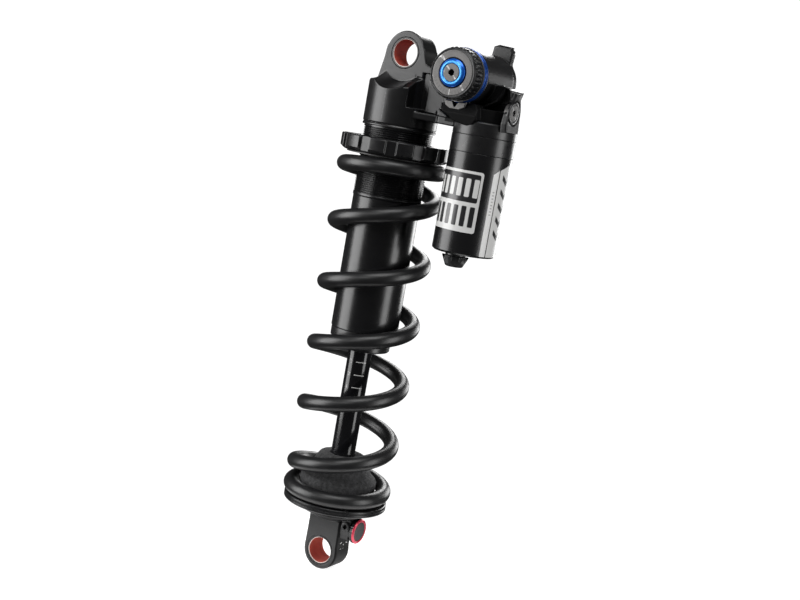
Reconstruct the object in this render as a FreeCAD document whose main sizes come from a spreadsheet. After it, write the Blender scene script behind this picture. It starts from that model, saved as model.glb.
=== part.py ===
"""Rear shock for a bicycle: a coil-sprung damper with a piggyback reservoir.

Millimetres. The origin is the centre of the lower eye, +Z runs to the upper eye and both eye bores run
along Y. The reservoir hangs on the +X side and the adjuster dials face -Y.
"""
import FreeCAD, Part
import math
import os
import Sketcher
from FreeCAD import Placement, Rotation, Vector

# name: (value, what it measures)
DIMENSIONS = {
    "eye_to_eye": (250.0, "distance between the eye centres"),
    "eye_bore_r": (6.35, "bore of both bushings, a half-inch bore"),
    "bushing_r": (7.545, "outside of both bushings"),
    "eye_width": (12.7, "width of both eyelets"),
    "upper_eye_r": (10.5, "outside of the upper eyelet"),
    "lower_eye_r": (9.7, "outside of the lower eyelet"),
    "gap": (0.05, "running clearance between sliding pieces"),
    "head_r": (18.0, "head cylinder"),
    "head_bottom": (213.9, "lower edge of the head cylinder"),
    "thread_r": (16.9, "crest of the preload thread"),
    "thread_root_r": (16.3, "root of the preload thread"),
    "thread_pitch": (1.0, "pitch of the preload thread"),
    "thread_bottom": (179.5, "lower end of the preload thread"),
    "tube_r": (16.6, "outside of the damper body"),
    "cylinder_r": (14.2, "bore of the damper body"),
    "tube_bottom": (114.3, "lower end of the damper body"),
    "sealhead_bottom": (104.8, "lower end of the seal head"),
    "sealhead_top": (119.0, "upper end of the seal head"),
    "shaft_r": (6.0, "outside of the shaft"),
    "shaft_bore_r": (3.3, "bore of the shaft"),
    "spring_wire_r": (3.75, "spring wire"),
    "spring_mean_r": (23.35, "centreline of the spring"),
    "spring_pitch": (30.8, "pitch of the free coils"),
    "spring_low": (32.0, "centre height of the lowest turn"),
    "spring_high": (196.0, "centre height of the top turn"),
    "collar_r": (26.8, "preload collar"),
    "collar_bottom": (200.5, "lower face of the preload collar"),
    "collar_top": (208.3, "upper face of the preload collar"),
    "retainer_r": (25.9, "spring retainer flange"),
    "retainer_bottom": (22.0, "seat of the spring retainer"),
    "retainer_top": (28.2, "spring seat on the retainer"),
    "bumper_r": (19.2, "widest part of the bumper"),
    "reservoir_x": (46.2, "axis of the reservoir"),
    "reservoir_r": (15.15, "outside of the reservoir"),
    "reservoir_bore_r": (13.4, "bore of the reservoir"),
    "reservoir_bottom": (162.1, "lower end of the reservoir"),
    "reservoir_seam": (209.4, "joint between the reservoir tube and its collar"),
    "reservoir_top": (224.0, "top rim of the reservoir collar"),
    "valve_x": (43.3, "axis of the air valve"),
    "valve_y": (-1.6, "axis of the air valve"),
    "barrel_x": (36.6, "axis of the compression barrel"),
    "barrel_z": (243.35, "axis of the compression barrel"),
    "barrel_r": (12.7, "outside of the compression barrel"),
    "barrel_front": (13.0, "front face of the barrel, towards -Y"),
    "barrel_back": (14.5, "back face of the barrel, towards +Y"),
    "barrel_bore_r": (9.0, "bore of the compression barrel"),
    "dial_r": (12.0, "high-speed dial"),
    "knob_r": (5.9, "rebound knob"),
    "knob_z": (13.9, "axis of the rebound knob"),
    "knob_face": (17.4, "outer face of the rebound knob"),
    "tongue_x": (61.7, "outer face of the reservoir head's tongue"),
    "bottom_out_y": (-5.2, "axis of the bottom-out adjuster"),
    "bottom_out_z": (230.3, "axis of the bottom-out adjuster"),
}


class Size:
    """A length that carries its spreadsheet formula with its value."""

    def __init__(self, value, formula=None):
        self.value = float(value)
        self.formula = formula if formula is not None else repr(float(value))

    def __add__(self, other):
        other = as_size(other)
        return Size(self.value + other.value, "(%s + %s)" % (self.formula, other.formula))

    def __sub__(self, other):
        other = as_size(other)
        return Size(self.value - other.value, "(%s - %s)" % (self.formula, other.formula))

    def __mul__(self, factor):
        return Size(self.value * factor, "(%s * %r)" % (self.formula, float(factor)))

    def __neg__(self):
        return Size(-self.value, "(-1 * %s)" % self.formula)


def as_size(number):
    return number if isinstance(number, Size) else Size(number)


doc = FreeCAD.newDocument("RearShock")
sheet = doc.addObject("Spreadsheet::Sheet", "Dimensions")
D = {}
for row, (name, (value, meaning)) in enumerate(DIMENSIONS.items(), start=1):
    sheet.set("A%d" % row, name)
    sheet.set("B%d" % row, str(value))
    sheet.set("C%d" % row, meaning)
    sheet.setAlias("B%d" % row, name)
    D[name] = Size(value, "Dimensions.%s" % name)
doc.recompute()

SUBPARTS = []
HALF_WIDTH = D["eye_width"] * 0.5
GAP = D["gap"]


# ---------------------------------------------------------------- sketch and feature helpers

def new_body(label):
    body = doc.addObject("PartDesign::Body", label)
    body.Label = label
    SUBPARTS.append(body)
    return body


def place(part, x=0.0, y=0.0, z=0.0, rotation=None):
    """Place a sub-part, with its position bound to the sheet."""
    position = [as_size(c) for c in (x, y, z)]
    part.Placement = Placement(Vector(*[c.value for c in position]), rotation or Rotation())
    for letter, coordinate in zip("xyz", position):
        if "Dimensions" in coordinate.formula:
            part.setExpression("Placement.Base.%s" % letter, coordinate.formula)
    return part


FACING_FRONT = Rotation(Vector(1, 0, 0), 90)    # local +Z becomes -Y
FACING_BACK = Rotation(Vector(1, 0, 0), -90)    # local +Z becomes +Y
FACING_RIGHT = Rotation(Vector(0, 1, 0), 90)    # local +Z becomes +X


def new_sketch(body, plane, offset=None):
    """A sketch on one of the body's own origin planes, moved along the plane's normal by offset."""
    sketch = body.newObject("Sketcher::SketchObject", "Sketch")
    origin_plane = [f for f in body.Origin.OriginFeatures if f.Role == plane][0]
    sketch.AttachmentSupport = [(origin_plane, "")]
    sketch.MapMode = "FlatFace"
    if offset is not None:
        offset = as_size(offset)
        sketch.AttachmentOffset = Placement(Vector(0, 0, offset.value), Rotation())
        if "Dimensions" in offset.formula:
            sketch.setExpression("AttachmentOffset.Base.z", offset.formula)
    return sketch


def bind(sketch, index, size):
    if "Dimensions" in size.formula:
        sketch.setExpression("Constraints[%d]" % index, size.formula)


def fix_point(sketch, geometry, end, x, y):
    """Hold a point of the sketch at x, y by dimensions bound to the sheet."""
    for kind, size, axis in (("DistanceX", x, -2), ("DistanceY", y, -1)):
        if abs(size.value) < 1e-9:
            sketch.addConstraint(Sketcher.Constraint("PointOnObject", geometry, end, axis))
        elif size.value > 0:
            bind(sketch, sketch.addConstraint(
                Sketcher.Constraint(kind, -1, 1, geometry, end, size.value)), size)
        else:
            bind(sketch, sketch.addConstraint(
                Sketcher.Constraint(kind, geometry, end, -1, 1, -size.value)), -size)


def arc_centre(start, end, radius, turn):
    """The centre of the minor arc from start to end: turn is +1 anticlockwise, -1 clockwise."""
    chord = end - start
    left = Vector(-chord.y, chord.x, 0).normalize()
    height = math.sqrt(max(radius ** 2 - (chord.Length / 2) ** 2, 0.0))
    return (start + end) * 0.5 + left * (height * turn)


def outline(sketch, points, arcs=None):
    """A closed outline through points; arcs maps a point's index to (radius, turn) of the edge after it."""
    arcs = arcs or {}
    points = [(as_size(x), as_size(y)) for x, y in points]
    vectors = [Vector(x.value, y.value, 0) for x, y in points]
    ends = []
    for i, start in enumerate(vectors):
        end = vectors[(i + 1) % len(vectors)]
        if i not in arcs:
            index = sketch.addGeometry(Part.LineSegment(start, end), False)
            ends.append((index, 1, 2))
            continue
        radius, turn = arcs[i]
        radius = as_size(radius)
        centre = arc_centre(start, end, radius.value, turn)
        first, last = (start, end) if turn > 0 else (end, start)
        angles = [math.atan2(p.y - centre.y, p.x - centre.x) for p in (first, last)]
        circle = Part.Circle(centre, Vector(0, 0, 1), radius.value)
        index = sketch.addGeometry(Part.ArcOfCircle(circle, angles[0], angles[1]), False)
        ends.append((index, 1, 2) if turn > 0 else (index, 2, 1))
        bind(sketch, sketch.addConstraint(Sketcher.Constraint("Radius", index, radius.value)), radius)
    for i, (index, begin, finish) in enumerate(ends):
        following = ends[(i + 1) % len(ends)]
        sketch.addConstraint(
            Sketcher.Constraint("Coincident", index, finish, following[0], following[1]))
    for (index, begin, finish), (x, y) in zip(ends, points):
        fix_point(sketch, index, begin, x, y)


def circle(sketch, radius, x=0.0, y=0.0):
    radius, x, y = as_size(radius), as_size(x), as_size(y)
    index = sketch.addGeometry(Part.Circle(Vector(x.value, y.value, 0), Vector(0, 0, 1), radius.value), False)
    bind(sketch, sketch.addConstraint(Sketcher.Constraint("Radius", index, radius.value)), radius)
    fix_point(sketch, index, 3, x, y)


def extrude(body, sketch, length, kind="PartDesign::Pad", midplane=False, reverse=False):
    length = as_size(length)
    feature = body.newObject(kind, "Extrusion")
    feature.Profile = sketch
    feature.Length = length.value
    if "Dimensions" in length.formula:
        feature.setExpression("Length", length.formula)
    feature.Midplane = midplane
    feature.Reversed = reverse
    return feature


def cut(body, sketch, length, midplane=False, reverse=False):
    """A pocket, which has to take something away."""
    doc.recompute()
    before = body.Shape.Volume
    feature = extrude(body, sketch, length, "PartDesign::Pocket", midplane, reverse)
    doc.recompute()
    if not body.Shape.Volume < before - 1e-3:
        raise RuntimeError("a pocket of %s cuts nothing" % body.Label)
    return feature


def turn_profile(body, points, arcs=None, kind="PartDesign::Revolution", plane="XZ_Plane"):
    """Revolve a closed outline of (radius, height) points about the body's Z axis."""
    sketch = new_sketch(body, plane)
    outline(sketch, points, arcs)
    feature = body.newObject(kind, "Turned")
    feature.Profile = sketch
    feature.ReferenceAxis = (sketch, ["V_Axis"])
    feature.Angle = 360.0
    return feature


def turned(label, points, arcs=None):
    body = new_body(label)
    turn_profile(body, points, arcs)
    return body


def ring(label, outer, inner, low, high):
    return turned(label, [(inner, low), (outer, low), (outer, high), (inner, high)])


def disc(label, radius, low, high):
    return turned(label, [(0, low), (radius, low), (radius, high), (0, high)])


def o_ring(label, mean_r, height, section_r):
    """A rubber ring of round section."""
    torus = doc.addObject("Part::Torus", label)
    torus.Label = label
    mean_r, height, section_r = as_size(mean_r), as_size(height), as_size(section_r)
    torus.Radius1 = mean_r.value
    torus.Radius2 = section_r.value
    torus.setExpression("Radius1", mean_r.formula)
    torus.setExpression("Radius2", section_r.formula)
    SUBPARTS.append(torus)
    return place(torus, 0, 0, height)


def repeat_around(body, feature, count):
    """Repeat a feature about the body's Z axis."""
    pattern = body.newObject("PartDesign::PolarPattern", "Pattern")
    pattern.Originals = [feature]
    axis = [f for f in body.Origin.OriginFeatures if f.Role == "Z_Axis"][0]
    pattern.Axis = (axis, [""])
    pattern.Angle = 360.0
    pattern.Occurrences = count
    body.Tip = pattern
    doc.recompute()
    return pattern


# ---------------------------------------------------------------- the upper head

def make_damper_head():
    """One forging: eyelet, head cylinder, bridge, compression barrel and reservoir head."""
    body = new_body("damper_head")
    eye_z, bottom, head_r = D["eye_to_eye"], D["head_bottom"], D["head_r"]
    face = HALF_WIDTH
    turn_profile(body, [(0, bottom), (head_r, bottom), (head_r, bottom + 1.0), (head_r - 0.4, bottom + 1.4),
                        (head_r, bottom + 1.8), (head_r, bottom + 22.6), (0, bottom + 22.6)])

    # Scoops that run round the eye, in front of and behind the flat faces of the eyelet.
    scoops = new_sketch(body, "YZ_Plane")
    axis = scoops.addGeometry(Part.LineSegment(Vector(0, eye_z.value, 0), Vector(10, eye_z.value, 0)), True)
    fix_point(scoops, axis, 1, as_size(0), eye_z)
    fix_point(scoops, axis, 2, as_size(10), eye_z)
    for side in (-1.0, 1.0):
        outline(scoops, [(face * side, eye_z), (face * side, eye_z - 13.0),
                         (head_r * side * 1.03, eye_z - 18.0), (head_r * side * 1.03, eye_z)],
                {1: (8.5, -side)})
    groove = body.newObject("PartDesign::Groove", "Scoops")
    groove.Profile = scoops
    groove.ReferenceAxis = (scoops, ["Axis0"])
    groove.Angle = 360.0

    # Eyelet web and the bridge's upper web, then the bridge's lower flange.
    web = new_sketch(body, "XZ_Plane")
    outline(web, [(-13.4, eye_z - 14.0), (10.0, eye_z - 14.0), (13.9, eye_z - 9.0), (13.9, eye_z - 4.0),
                  (10.2, eye_z + 2.3), (-10.2, eye_z + 2.5)], {3: (8.0, -1)})
    extrude(body, web, D["eye_width"], midplane=True)
    eyelet = new_sketch(body, "XZ_Plane")
    circle(eyelet, D["upper_eye_r"], 0, eye_z)
    extrude(body, eyelet, D["eye_width"], midplane=True)
    bridge = new_sketch(body, "XZ_Plane")
    outline(bridge, [(0, bottom + 7.0), (D["barrel_x"], bottom + 7.0), (D["barrel_x"], D["barrel_z"]),
                     (16.4, eye_z - 5.3), (12.0, eye_z - 4.0), (0, eye_z - 4.0)])
    extrude(body, bridge, D["eye_width"], midplane=True)
    flange = new_sketch(body, "XZ_Plane")
    outline(flange, [(4.0, bottom + 6.4), (D["barrel_x"], bottom + 5.6), (D["barrel_x"], bottom + 9.9),
                     (4.0, bottom + 9.9)])
    extrude(body, flange, D["eye_width"] + 6.0, midplane=True)

    # Reservoir head: cap, front block and the shoulder that carries the tongue.
    cap = new_sketch(body, "XZ_Plane")
    cap_end = D["tongue_x"] - 3.3
    outline(cap, [(D["barrel_x"] - 3.0, D["reservoir_top"] + 0.6), (cap_end, D["reservoir_top"] + 0.6),
                  (cap_end, D["barrel_z"] - 5.0), (54.5, D["barrel_z"] - 1.2),
                  (D["barrel_x"] + 5.0, D["barrel_z"] - 1.2), (D["barrel_x"] - 3.0, D["barrel_z"] - 8.0)])
    extrude(body, cap, 16.0, midplane=True)
    block = new_sketch(body, "XZ_Plane", 6.0)
    outline(block, [(33.4, 220.2), (46.0, 220.9), (48.0, 228.5), (44.5, 232.0), (31.5, 232.0), (30.3, 226.0)])
    extrude(body, block, 6.8)
    tongue = new_sketch(body, "YZ_Plane", D["tongue_x"] - 3.5)
    outline(tongue, [(-10.0, 220.9), (2.6, 220.9), (3.2, 222.0), (2.0, 231.8), (-0.7, 239.2), (-3.4, 239.2),
                     (-5.7, 234.4), (-9.8, 229.6), (-10.8, 224.8)])
    extrude(body, tongue, 3.5)
    barrel = new_sketch(body, "XZ_Plane", D["barrel_front"])
    circle(barrel, D["barrel_r"], D["barrel_x"], D["barrel_z"])
    extrude(body, barrel, D["barrel_front"] + D["barrel_back"], reverse=True)
    clear = new_sketch(body, "XY_Plane", D["reservoir_top"])
    circle(clear, D["reservoir_r"] + GAP, D["reservoir_x"])
    cut(body, clear, 8.0)

    # The neck that the reservoir is screwed to, with its O-ring groove.
    neck_r, plug_r, seam = D["reservoir_r"] - 2.6, D["reservoir_bore_r"] - 0.02, D["reservoir_seam"]
    neck = new_sketch(body, "XZ_Plane")
    centre = neck.addGeometry(Part.LineSegment(Vector(46, 200, 0), Vector(46, 230, 0)), True)
    fix_point(neck, centre, 1, D["reservoir_x"], seam)
    fix_point(neck, centre, 2, D["reservoir_x"], D["barrel_z"])
    profile = [(0, seam - 6.0), (plug_r, seam - 6.0), (plug_r, seam - 4.0), (plug_r - 1.5, seam - 4.0),
               (plug_r - 1.5, seam - 2.4), (plug_r, seam - 2.4), (plug_r, seam), (neck_r, seam),
               (neck_r, D["reservoir_top"] + 9.0), (0, D["reservoir_top"] + 9.0)]
    outline(neck, [(D["reservoir_x"] + r, z) for r, z in profile])
    turned_neck = body.newObject("PartDesign::Revolution", "Neck")
    turned_neck.Profile = neck
    turned_neck.ReferenceAxis = (neck, ["Axis0"])
    turned_neck.Angle = 360.0

    # Bores and pockets.
    eye = new_sketch(body, "XZ_Plane")
    circle(eye, D["bushing_r"], 0, eye_z)
    cut(body, eye, 40.0, midplane=True)
    spigot = new_sketch(body, "XY_Plane", bottom)
    circle(spigot, D["cylinder_r"] + 1.2)
    cut(body, spigot, 8.0, reverse=True)
    cup_bore = new_sketch(body, "XY_Plane", bottom + 8.0)
    circle(cup_bore, 12.0)
    cut(body, cup_bore, 7.0, reverse=True)
    barrel_bore = new_sketch(body, "XZ_Plane", D["barrel_front"])
    circle(barrel_bore, D["barrel_bore_r"], D["barrel_x"], D["barrel_z"])
    cut(body, barrel_bore, D["barrel_front"] + D["barrel_back"])
    neck_bore = new_sketch(body, "XY_Plane", D["reservoir_seam"] - 6.0)
    circle(neck_bore, 9.0, D["reservoir_x"])
    cut(body, neck_bore, 23.0, reverse=True)
    passage = new_sketch(body, "YZ_Plane", 5.0)
    circle(passage, 1.6, 0, bottom + 12.0)
    cut(body, passage, 38.0, reverse=True)
    port = new_sketch(body, "XY_Plane", D["reservoir_seam"] + 15.0)
    circle(port, 2.0, D["reservoir_x"] - 4.6)
    cut(body, port, 16.0, reverse=True)
    adjuster = new_sketch(body, "YZ_Plane", D["tongue_x"])
    circle(adjuster, Size(3.9), D["bottom_out_y"], D["bottom_out_z"])
    cut(body, adjuster, 7.0)
    pocket = new_sketch(body, "XZ_Plane", 18.0)
    outline(pocket, [(10.2, 224.4), (15.0, 224.4), (15.0, 237.0), (10.2, 237.0)])
    cut(body, pocket, 14.0)


def make_bushing(label, height):
    """Glide bushing of an eyelet, with its ends a little rounded."""
    body = turned(label, [(D["eye_bore_r"], -HALF_WIDTH), (D["bushing_r"] - 0.12, -HALF_WIDTH),
                          (D["bushing_r"], -HALF_WIDTH + 0.12), (D["bushing_r"], HALF_WIDTH - 0.12),
                          (D["bushing_r"] - 0.12, HALF_WIDTH), (D["eye_bore_r"], HALF_WIDTH)])
    place(body, 0, 0, height, FACING_FRONT)


# ---------------------------------------------------------------- damper body and seal head

def make_damper_body():
    """Tube with the preload thread on its upper part, drawn as closed grooves of the same pitch."""
    body = new_body("damper_body")
    top = D["head_bottom"] + 8.0
    spigot_r = D["cylinder_r"] + 1.2
    turn_profile(body, [(D["cylinder_r"], D["tube_bottom"]), (D["tube_r"], D["tube_bottom"]),
                        (D["tube_r"], D["thread_bottom"]), (D["thread_r"], D["thread_bottom"] + 0.3),
                        (D["thread_r"], D["head_bottom"]), (spigot_r, D["head_bottom"]), (spigot_r, top),
                        (D["cylinder_r"], top)])
    start = D["thread_bottom"] + 1.4
    groove = turn_profile(body, [(D["thread_root_r"], start + 0.45), (D["thread_r"] + 0.2, start + 0.05),
                                 (D["thread_r"] + 0.2, start + 0.85)], kind="PartDesign::Groove")
    count = 32
    pattern = body.newObject("PartDesign::LinearPattern", "Thread")
    pattern.Originals = [groove]
    axis = [f for f in body.Origin.OriginFeatures if f.Role == "Z_Axis"][0]
    pattern.Direction = (axis, [""])
    pattern.Length = D["thread_pitch"].value * (count - 1)
    pattern.setExpression("Length", (D["thread_pitch"] * (count - 1)).formula)
    pattern.Occurrences = count
    body.Tip = pattern


def make_seal_head():
    """Cap that guides the shaft, with its flange under the tube and its plug inside it."""
    low, high, plug_r = D["sealhead_bottom"], D["sealhead_top"], D["cylinder_r"] - 0.02
    turned("seal_head", [
        (9.0, low), (13.4, low), (14.0, low + 0.6), (14.0, low + 4.2), (15.9, low + 4.6), (16.3, low + 5.0),
        (16.3, D["tube_bottom"]), (plug_r, D["tube_bottom"]), (plug_r, low + 10.6), (plug_r - 1.8, low + 10.6),
        (plug_r - 1.8, low + 12.4), (plug_r, low + 12.4), (plug_r, high), (7.4, high), (7.4, low + 7.6),
        (7.2, low + 7.6), (7.2, low + 6.6), (9.0, low + 6.6), (9.0, low + 3.4), (7.2, low + 3.4),
        (7.2, low + 2.8), (9.0, low + 2.8)])
    shaft_fit = D["shaft_r"] + GAP
    ring("shaft_bushing", 7.4, shaft_fit, low + 7.6, high)
    ring("shaft_seal", 9.0, shaft_fit, low + 3.5, low + 6.5)
    turned("shaft_wiper", [(shaft_fit, low - 0.5), (shaft_fit + 0.7, low - 0.5), (shaft_fit + 1.2, low + 0.05),
                           (9.0, low + 0.05), (9.0, low + 2.7), (shaft_fit, low + 2.7)])
    o_ring("seal_head_oring", D["cylinder_r"] - 0.92, low + 11.5, 0.88)


def make_bottom_out_cup():
    """Cup in the head that the shaft's bottom-out piston enters in the last part of the stroke."""
    low, flange = Size(206.4), D["head_bottom"] + 8.0
    turned("bottom_out_cup", [(9.05, low + 0.6), (9.6, low), (10.6, low), (10.6, flange), (12.0, flange),
                              (12.0, flange + 6.8), (3.0, flange + 6.8), (3.0, flange + 5.0),
                              (9.05, flange + 5.0)])


# ---------------------------------------------------------------- preload collar and spring

def make_preload_collar():
    """Castellated nut on the preload thread."""
    body = new_body("preload_collar")
    low, high, bore = D["collar_bottom"], D["collar_top"], D["thread_r"] + GAP
    turn_profile(body, [(bore, low), (23.2, low), (D["collar_r"], low + 1.6), (D["collar_r"], high - 0.4),
                        (D["collar_r"] - 0.4, high), (bore + 0.6, high), (bore, high - 0.6)])
    notch = new_sketch(body, "XY_Plane", high)
    half, depth = 2.3, D["collar_r"] - 1.5
    outline(notch, [(depth, -half), (D["collar_r"] + 1.0, -half - 0.5), (D["collar_r"] + 1.0, half + 0.5),
                    (depth, half)])
    feature = cut(body, notch, high - low)
    repeat_around(body, feature, 12)
    place(body, 0, 0, 0, Rotation(Vector(0, 0, 1), -4.5))
    ring("preload_washer", 23.2, D["thread_r"] + GAP, D["collar_bottom"] - 0.7, D["collar_bottom"])


def spring_height(angle):
    """Height of the wire's centre at an unwrapped angle: flat end turns that ramp into the free pitch."""
    slope = D["spring_pitch"].value / 360.0
    ramp_in, ramp_out = 360.0, 240.0
    low, high = D["spring_low"].value, D["spring_high"].value
    free = (high - low) / slope - (ramp_in + ramp_out) / 2
    if angle <= 0:
        return low
    if angle < ramp_in:
        return low + slope * angle ** 2 / (2 * ramp_in)
    if angle < ramp_in + free:
        return low + slope * (ramp_in / 2 + angle - ramp_in)
    rest = ramp_in + free + ramp_out - angle
    return high - slope * max(rest, 0.0) ** 2 / (2 * ramp_out)


def make_coil_spring():
    """Compression spring with closed ends: round wire swept along its centreline."""
    first, last, step = -100.0, 2360.0, 20.0
    ramp_start = -451.0    # where the lower ramp leaves the flat turn, measured about Z
    mean_r, wire_r = D["spring_mean_r"].value, D["spring_wire_r"].value
    count = int(round((last - first) / step))
    centres = []
    for i in range(count + 1):
        angle = first + step * i
        turn = math.radians(angle + ramp_start)
        centres.append(Vector(mean_r * math.cos(turn), mean_r * math.sin(turn), spring_height(angle)))
    line = Part.BSplineCurve()
    line.interpolate(centres)
    start = line.tangent(line.FirstParameter)[0]
    sweep = Part.BRepOffsetAPI.MakePipeShell(Part.Wire([line.toShape()]))
    sweep.setFrenetMode(True)
    sweep.add(Part.Wire([Part.makeCircle(wire_r, centres[0], start)]))
    sweep.build()
    sweep.makeSolid()
    spring = doc.addObject("Part::Feature", "coil_spring")
    spring.Label = "coil_spring"
    spring.Shape = sweep.shape()
    SUBPARTS.append(spring)


# ---------------------------------------------------------------- shaft assembly

def make_shaft():
    """Hollow shaft, screwed into the lower eyelet, with the step that carries the piston."""
    top, step = D["sealhead_top"] + 17.0, D["sealhead_top"]
    turned("shaft", [(D["shaft_bore_r"], 14.0), (D["shaft_r"], 14.0), (D["shaft_r"], step),
                     (4.6, step), (4.6, top), (D["shaft_bore_r"], top)])


def make_lower_eyelet():
    """Forging that carries the lower eye, the spring retainer and the rebound adjusters."""
    body = new_body("lower_eyelet")
    eye_r, seat = D["lower_eye_r"], D["retainer_bottom"]
    web = new_sketch(body, "XZ_Plane")
    outline(web, [(-eye_r, 0), (9.3, 0), (9.0, seat - 4.7), (-9.5, seat - 4.7)])
    extrude(body, web, D["eye_width"], midplane=True)
    eyelet = new_sketch(body, "XZ_Plane")
    circle(eyelet, eye_r)
    extrude(body, eyelet, D["eye_width"], midplane=True)
    turn_profile(body, [(0, seat - 6.0), (9.4, seat - 4.7), (14.0, seat - 1.6), (17.0, seat - 0.8),
                        (17.0, seat), (11.4, seat), (11.4, seat + 2.4), (0, seat + 2.4)])
    boss = new_sketch(body, "YZ_Plane")
    outline(boss, [(-5.0, 9.0), (5.0, 9.0), (5.0, 19.6), (-5.0, 19.6)])
    extrude(body, boss, 14.6)
    eye = new_sketch(body, "XZ_Plane")
    circle(eye, D["bushing_r"])
    cut(body, eye, 40.0, midplane=True)
    socket = new_sketch(body, "XY_Plane", seat + 2.4)
    circle(socket, D["shaft_r"])
    cut(body, socket, seat + 2.4 - 14.0)
    needle_well = new_sketch(body, "XY_Plane", 14.0)
    circle(needle_well, D["shaft_bore_r"] - 0.6)
    cut(body, needle_well, 4.0)
    knob_hole = new_sketch(body, "YZ_Plane", 14.6)
    circle(knob_hole, 2.2, 0, D["knob_z"])
    cut(body, knob_hole, 8.0)
    screw_hole = new_sketch(body, "XZ_Plane", 5.0)
    circle(screw_hole, 1.8, 12.1, 16.0)
    cut(body, screw_hole, 2.6)
    ball_hole = new_sketch(body, "YZ_Plane", 14.6)
    circle(ball_hole, 0.8, 0, D["knob_z"] - 4.1)
    cut(body, ball_hole, 2.5)


def make_rebound_adjusters():
    """Low-speed knob with its cap and detent ball, the high-speed screw, and the needle rod."""
    face, axis_z = D["knob_face"], D["knob_z"]
    stem_start = Size(8.4)
    knob = turned("rebound_knob", [
        (0, 0), (2.15, 0), (2.15, 6.3), (D["knob_r"] - 0.5, 6.3), (D["knob_r"], 6.8),
        (D["knob_r"], face - stem_start - 0.5), (D["knob_r"] - 0.5, face - stem_start),
        (4.3, face - stem_start), (4.3, face - stem_start - 0.6), (0, face - stem_start - 0.6)])
    place(knob, stem_start, 0, axis_z, FACING_RIGHT)
    cap = turned("rebound_knob_cap", [(0, 0), (4.25, 0), (4.25, 0.3), (4.0, 0.5), (0, 0.5)])
    place(cap, face - 0.6, 0, axis_z, FACING_RIGHT)
    ball = doc.addObject("Part::Sphere", "rebound_detent_ball")
    ball.Label = "rebound_detent_ball"
    ball.Radius = 0.75
    SUBPARTS.append(ball)
    place(ball, 13.8, 0, axis_z - 4.1)
    screw = new_body("high_speed_rebound_screw")
    turn_profile(screw, [(0, 0), (1.75, 0), (1.75, 2.5), (2.3, 2.5), (2.3, 3.5), (2.0, 3.8), (0, 3.8)])
    hexagon(screw, 1.0, 3.8, 2.0)
    place(screw, 12.1, -2.55, 16.0, FACING_FRONT)
    turned("rebound_needle", [(0, 11.4), (2.4, 11.4), (2.4, 100.0), (3.0, 100.6), (3.0, 110.0), (1.2, 126.0),
                              (0, 127.0)])


def hexagon(body, across_half, height, depth):
    """A hexagonal socket, given half its width across flats."""
    sketch = new_sketch(body, "XY_Plane", height)
    corner = across_half / math.cos(math.pi / 6)
    outline(sketch, [(corner * math.cos(math.pi / 3 * i), corner * math.sin(math.pi / 3 * i))
                     for i in range(6)])
    cut(body, sketch, depth)


def make_spring_retainer():
    """Flanged seat under the spring, and the snap ring that keeps it on the eyelet."""
    low, high, flange_r = D["retainer_bottom"], D["retainer_top"], D["retainer_r"]
    turned("spring_retainer", [
        (14.6, low), (flange_r - 2.2, low), (flange_r - 1.5, low + 0.3), (flange_r, low + 3.0),
        (flange_r, low + 4.2), (flange_r - 0.3, low + 4.4), (flange_r, low + 4.6), (flange_r, high - 0.4),
        (flange_r - 0.4, high), (14.6, high)])
    ring("retainer_clip", 14.5, D["lower_eye_r"] + 1.72, low + 0.05, low + 1.2)


def make_bumper():
    """Foam bottom-out bumper round the shaft, wide at its foot and stepped towards its tip."""
    low, radius, hole = D["retainer_bottom"] + 2.5, D["bumper_r"], D["shaft_r"] + 0.2
    turned("bottom_out_bumper", [
        (hole, low), (13.8, low), (14.4, low + 0.6), (14.4, low + 4.4), (17.2, low + 6.6),
        (radius, low + 9.2), (radius, low + 11.0), (radius - 1.3, low + 12.4), (radius - 2.0, low + 13.0),
        (15.6, low + 17.4), (14.6, low + 18.0), (11.2, low + 24.0), (9.2, low + 28.4), (hole, low + 29.0)])


def make_piston_stack():
    """Main piston, its band and shims, top-out ring, nut and bottom-out piston, in order up the shaft."""
    base, bore, hub = D["sealhead_top"], D["cylinder_r"], 4.6
    ring("top_out_ring", 8.0, hub, base, base + 2.0)
    ring("rebound_shims", 10.5, hub, base + 2.0, base + 3.4)
    piston = new_body("main_piston")
    body_r, groove_r, low = bore - 0.15, bore - 1.2, base + 3.4
    turn_profile(piston, [(hub, low), (body_r, low), (body_r, low + 1.6), (groove_r, low + 1.6),
                          (groove_r, low + 5.4), (body_r, low + 5.4), (body_r, low + 7.0), (hub, low + 7.0)])
    port = new_sketch(piston, "XY_Plane", low + 7.0)
    circle(port, 1.5, 8.4)
    repeat_around(piston, cut(piston, port, 7.0), 6)
    ring("piston_band", bore - GAP, groove_r, low + 1.7, low + 5.3)
    ring("compression_shims", 11.0, hub, low + 7.0, low + 8.6)
    ring("piston_nut", 7.0, hub, low + 8.6, low + 13.0)
    turned("bottom_out_piston", [(0, base + 17.0), (hub, base + 17.0), (5.6, base + 18.0), (8.2, base + 20.0),
                                 (8.95, base + 20.8), (8.95, base + 23.4), (8.2, base + 24.2),
                                 (0, base + 24.2)])


# ---------------------------------------------------------------- reservoir

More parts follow.
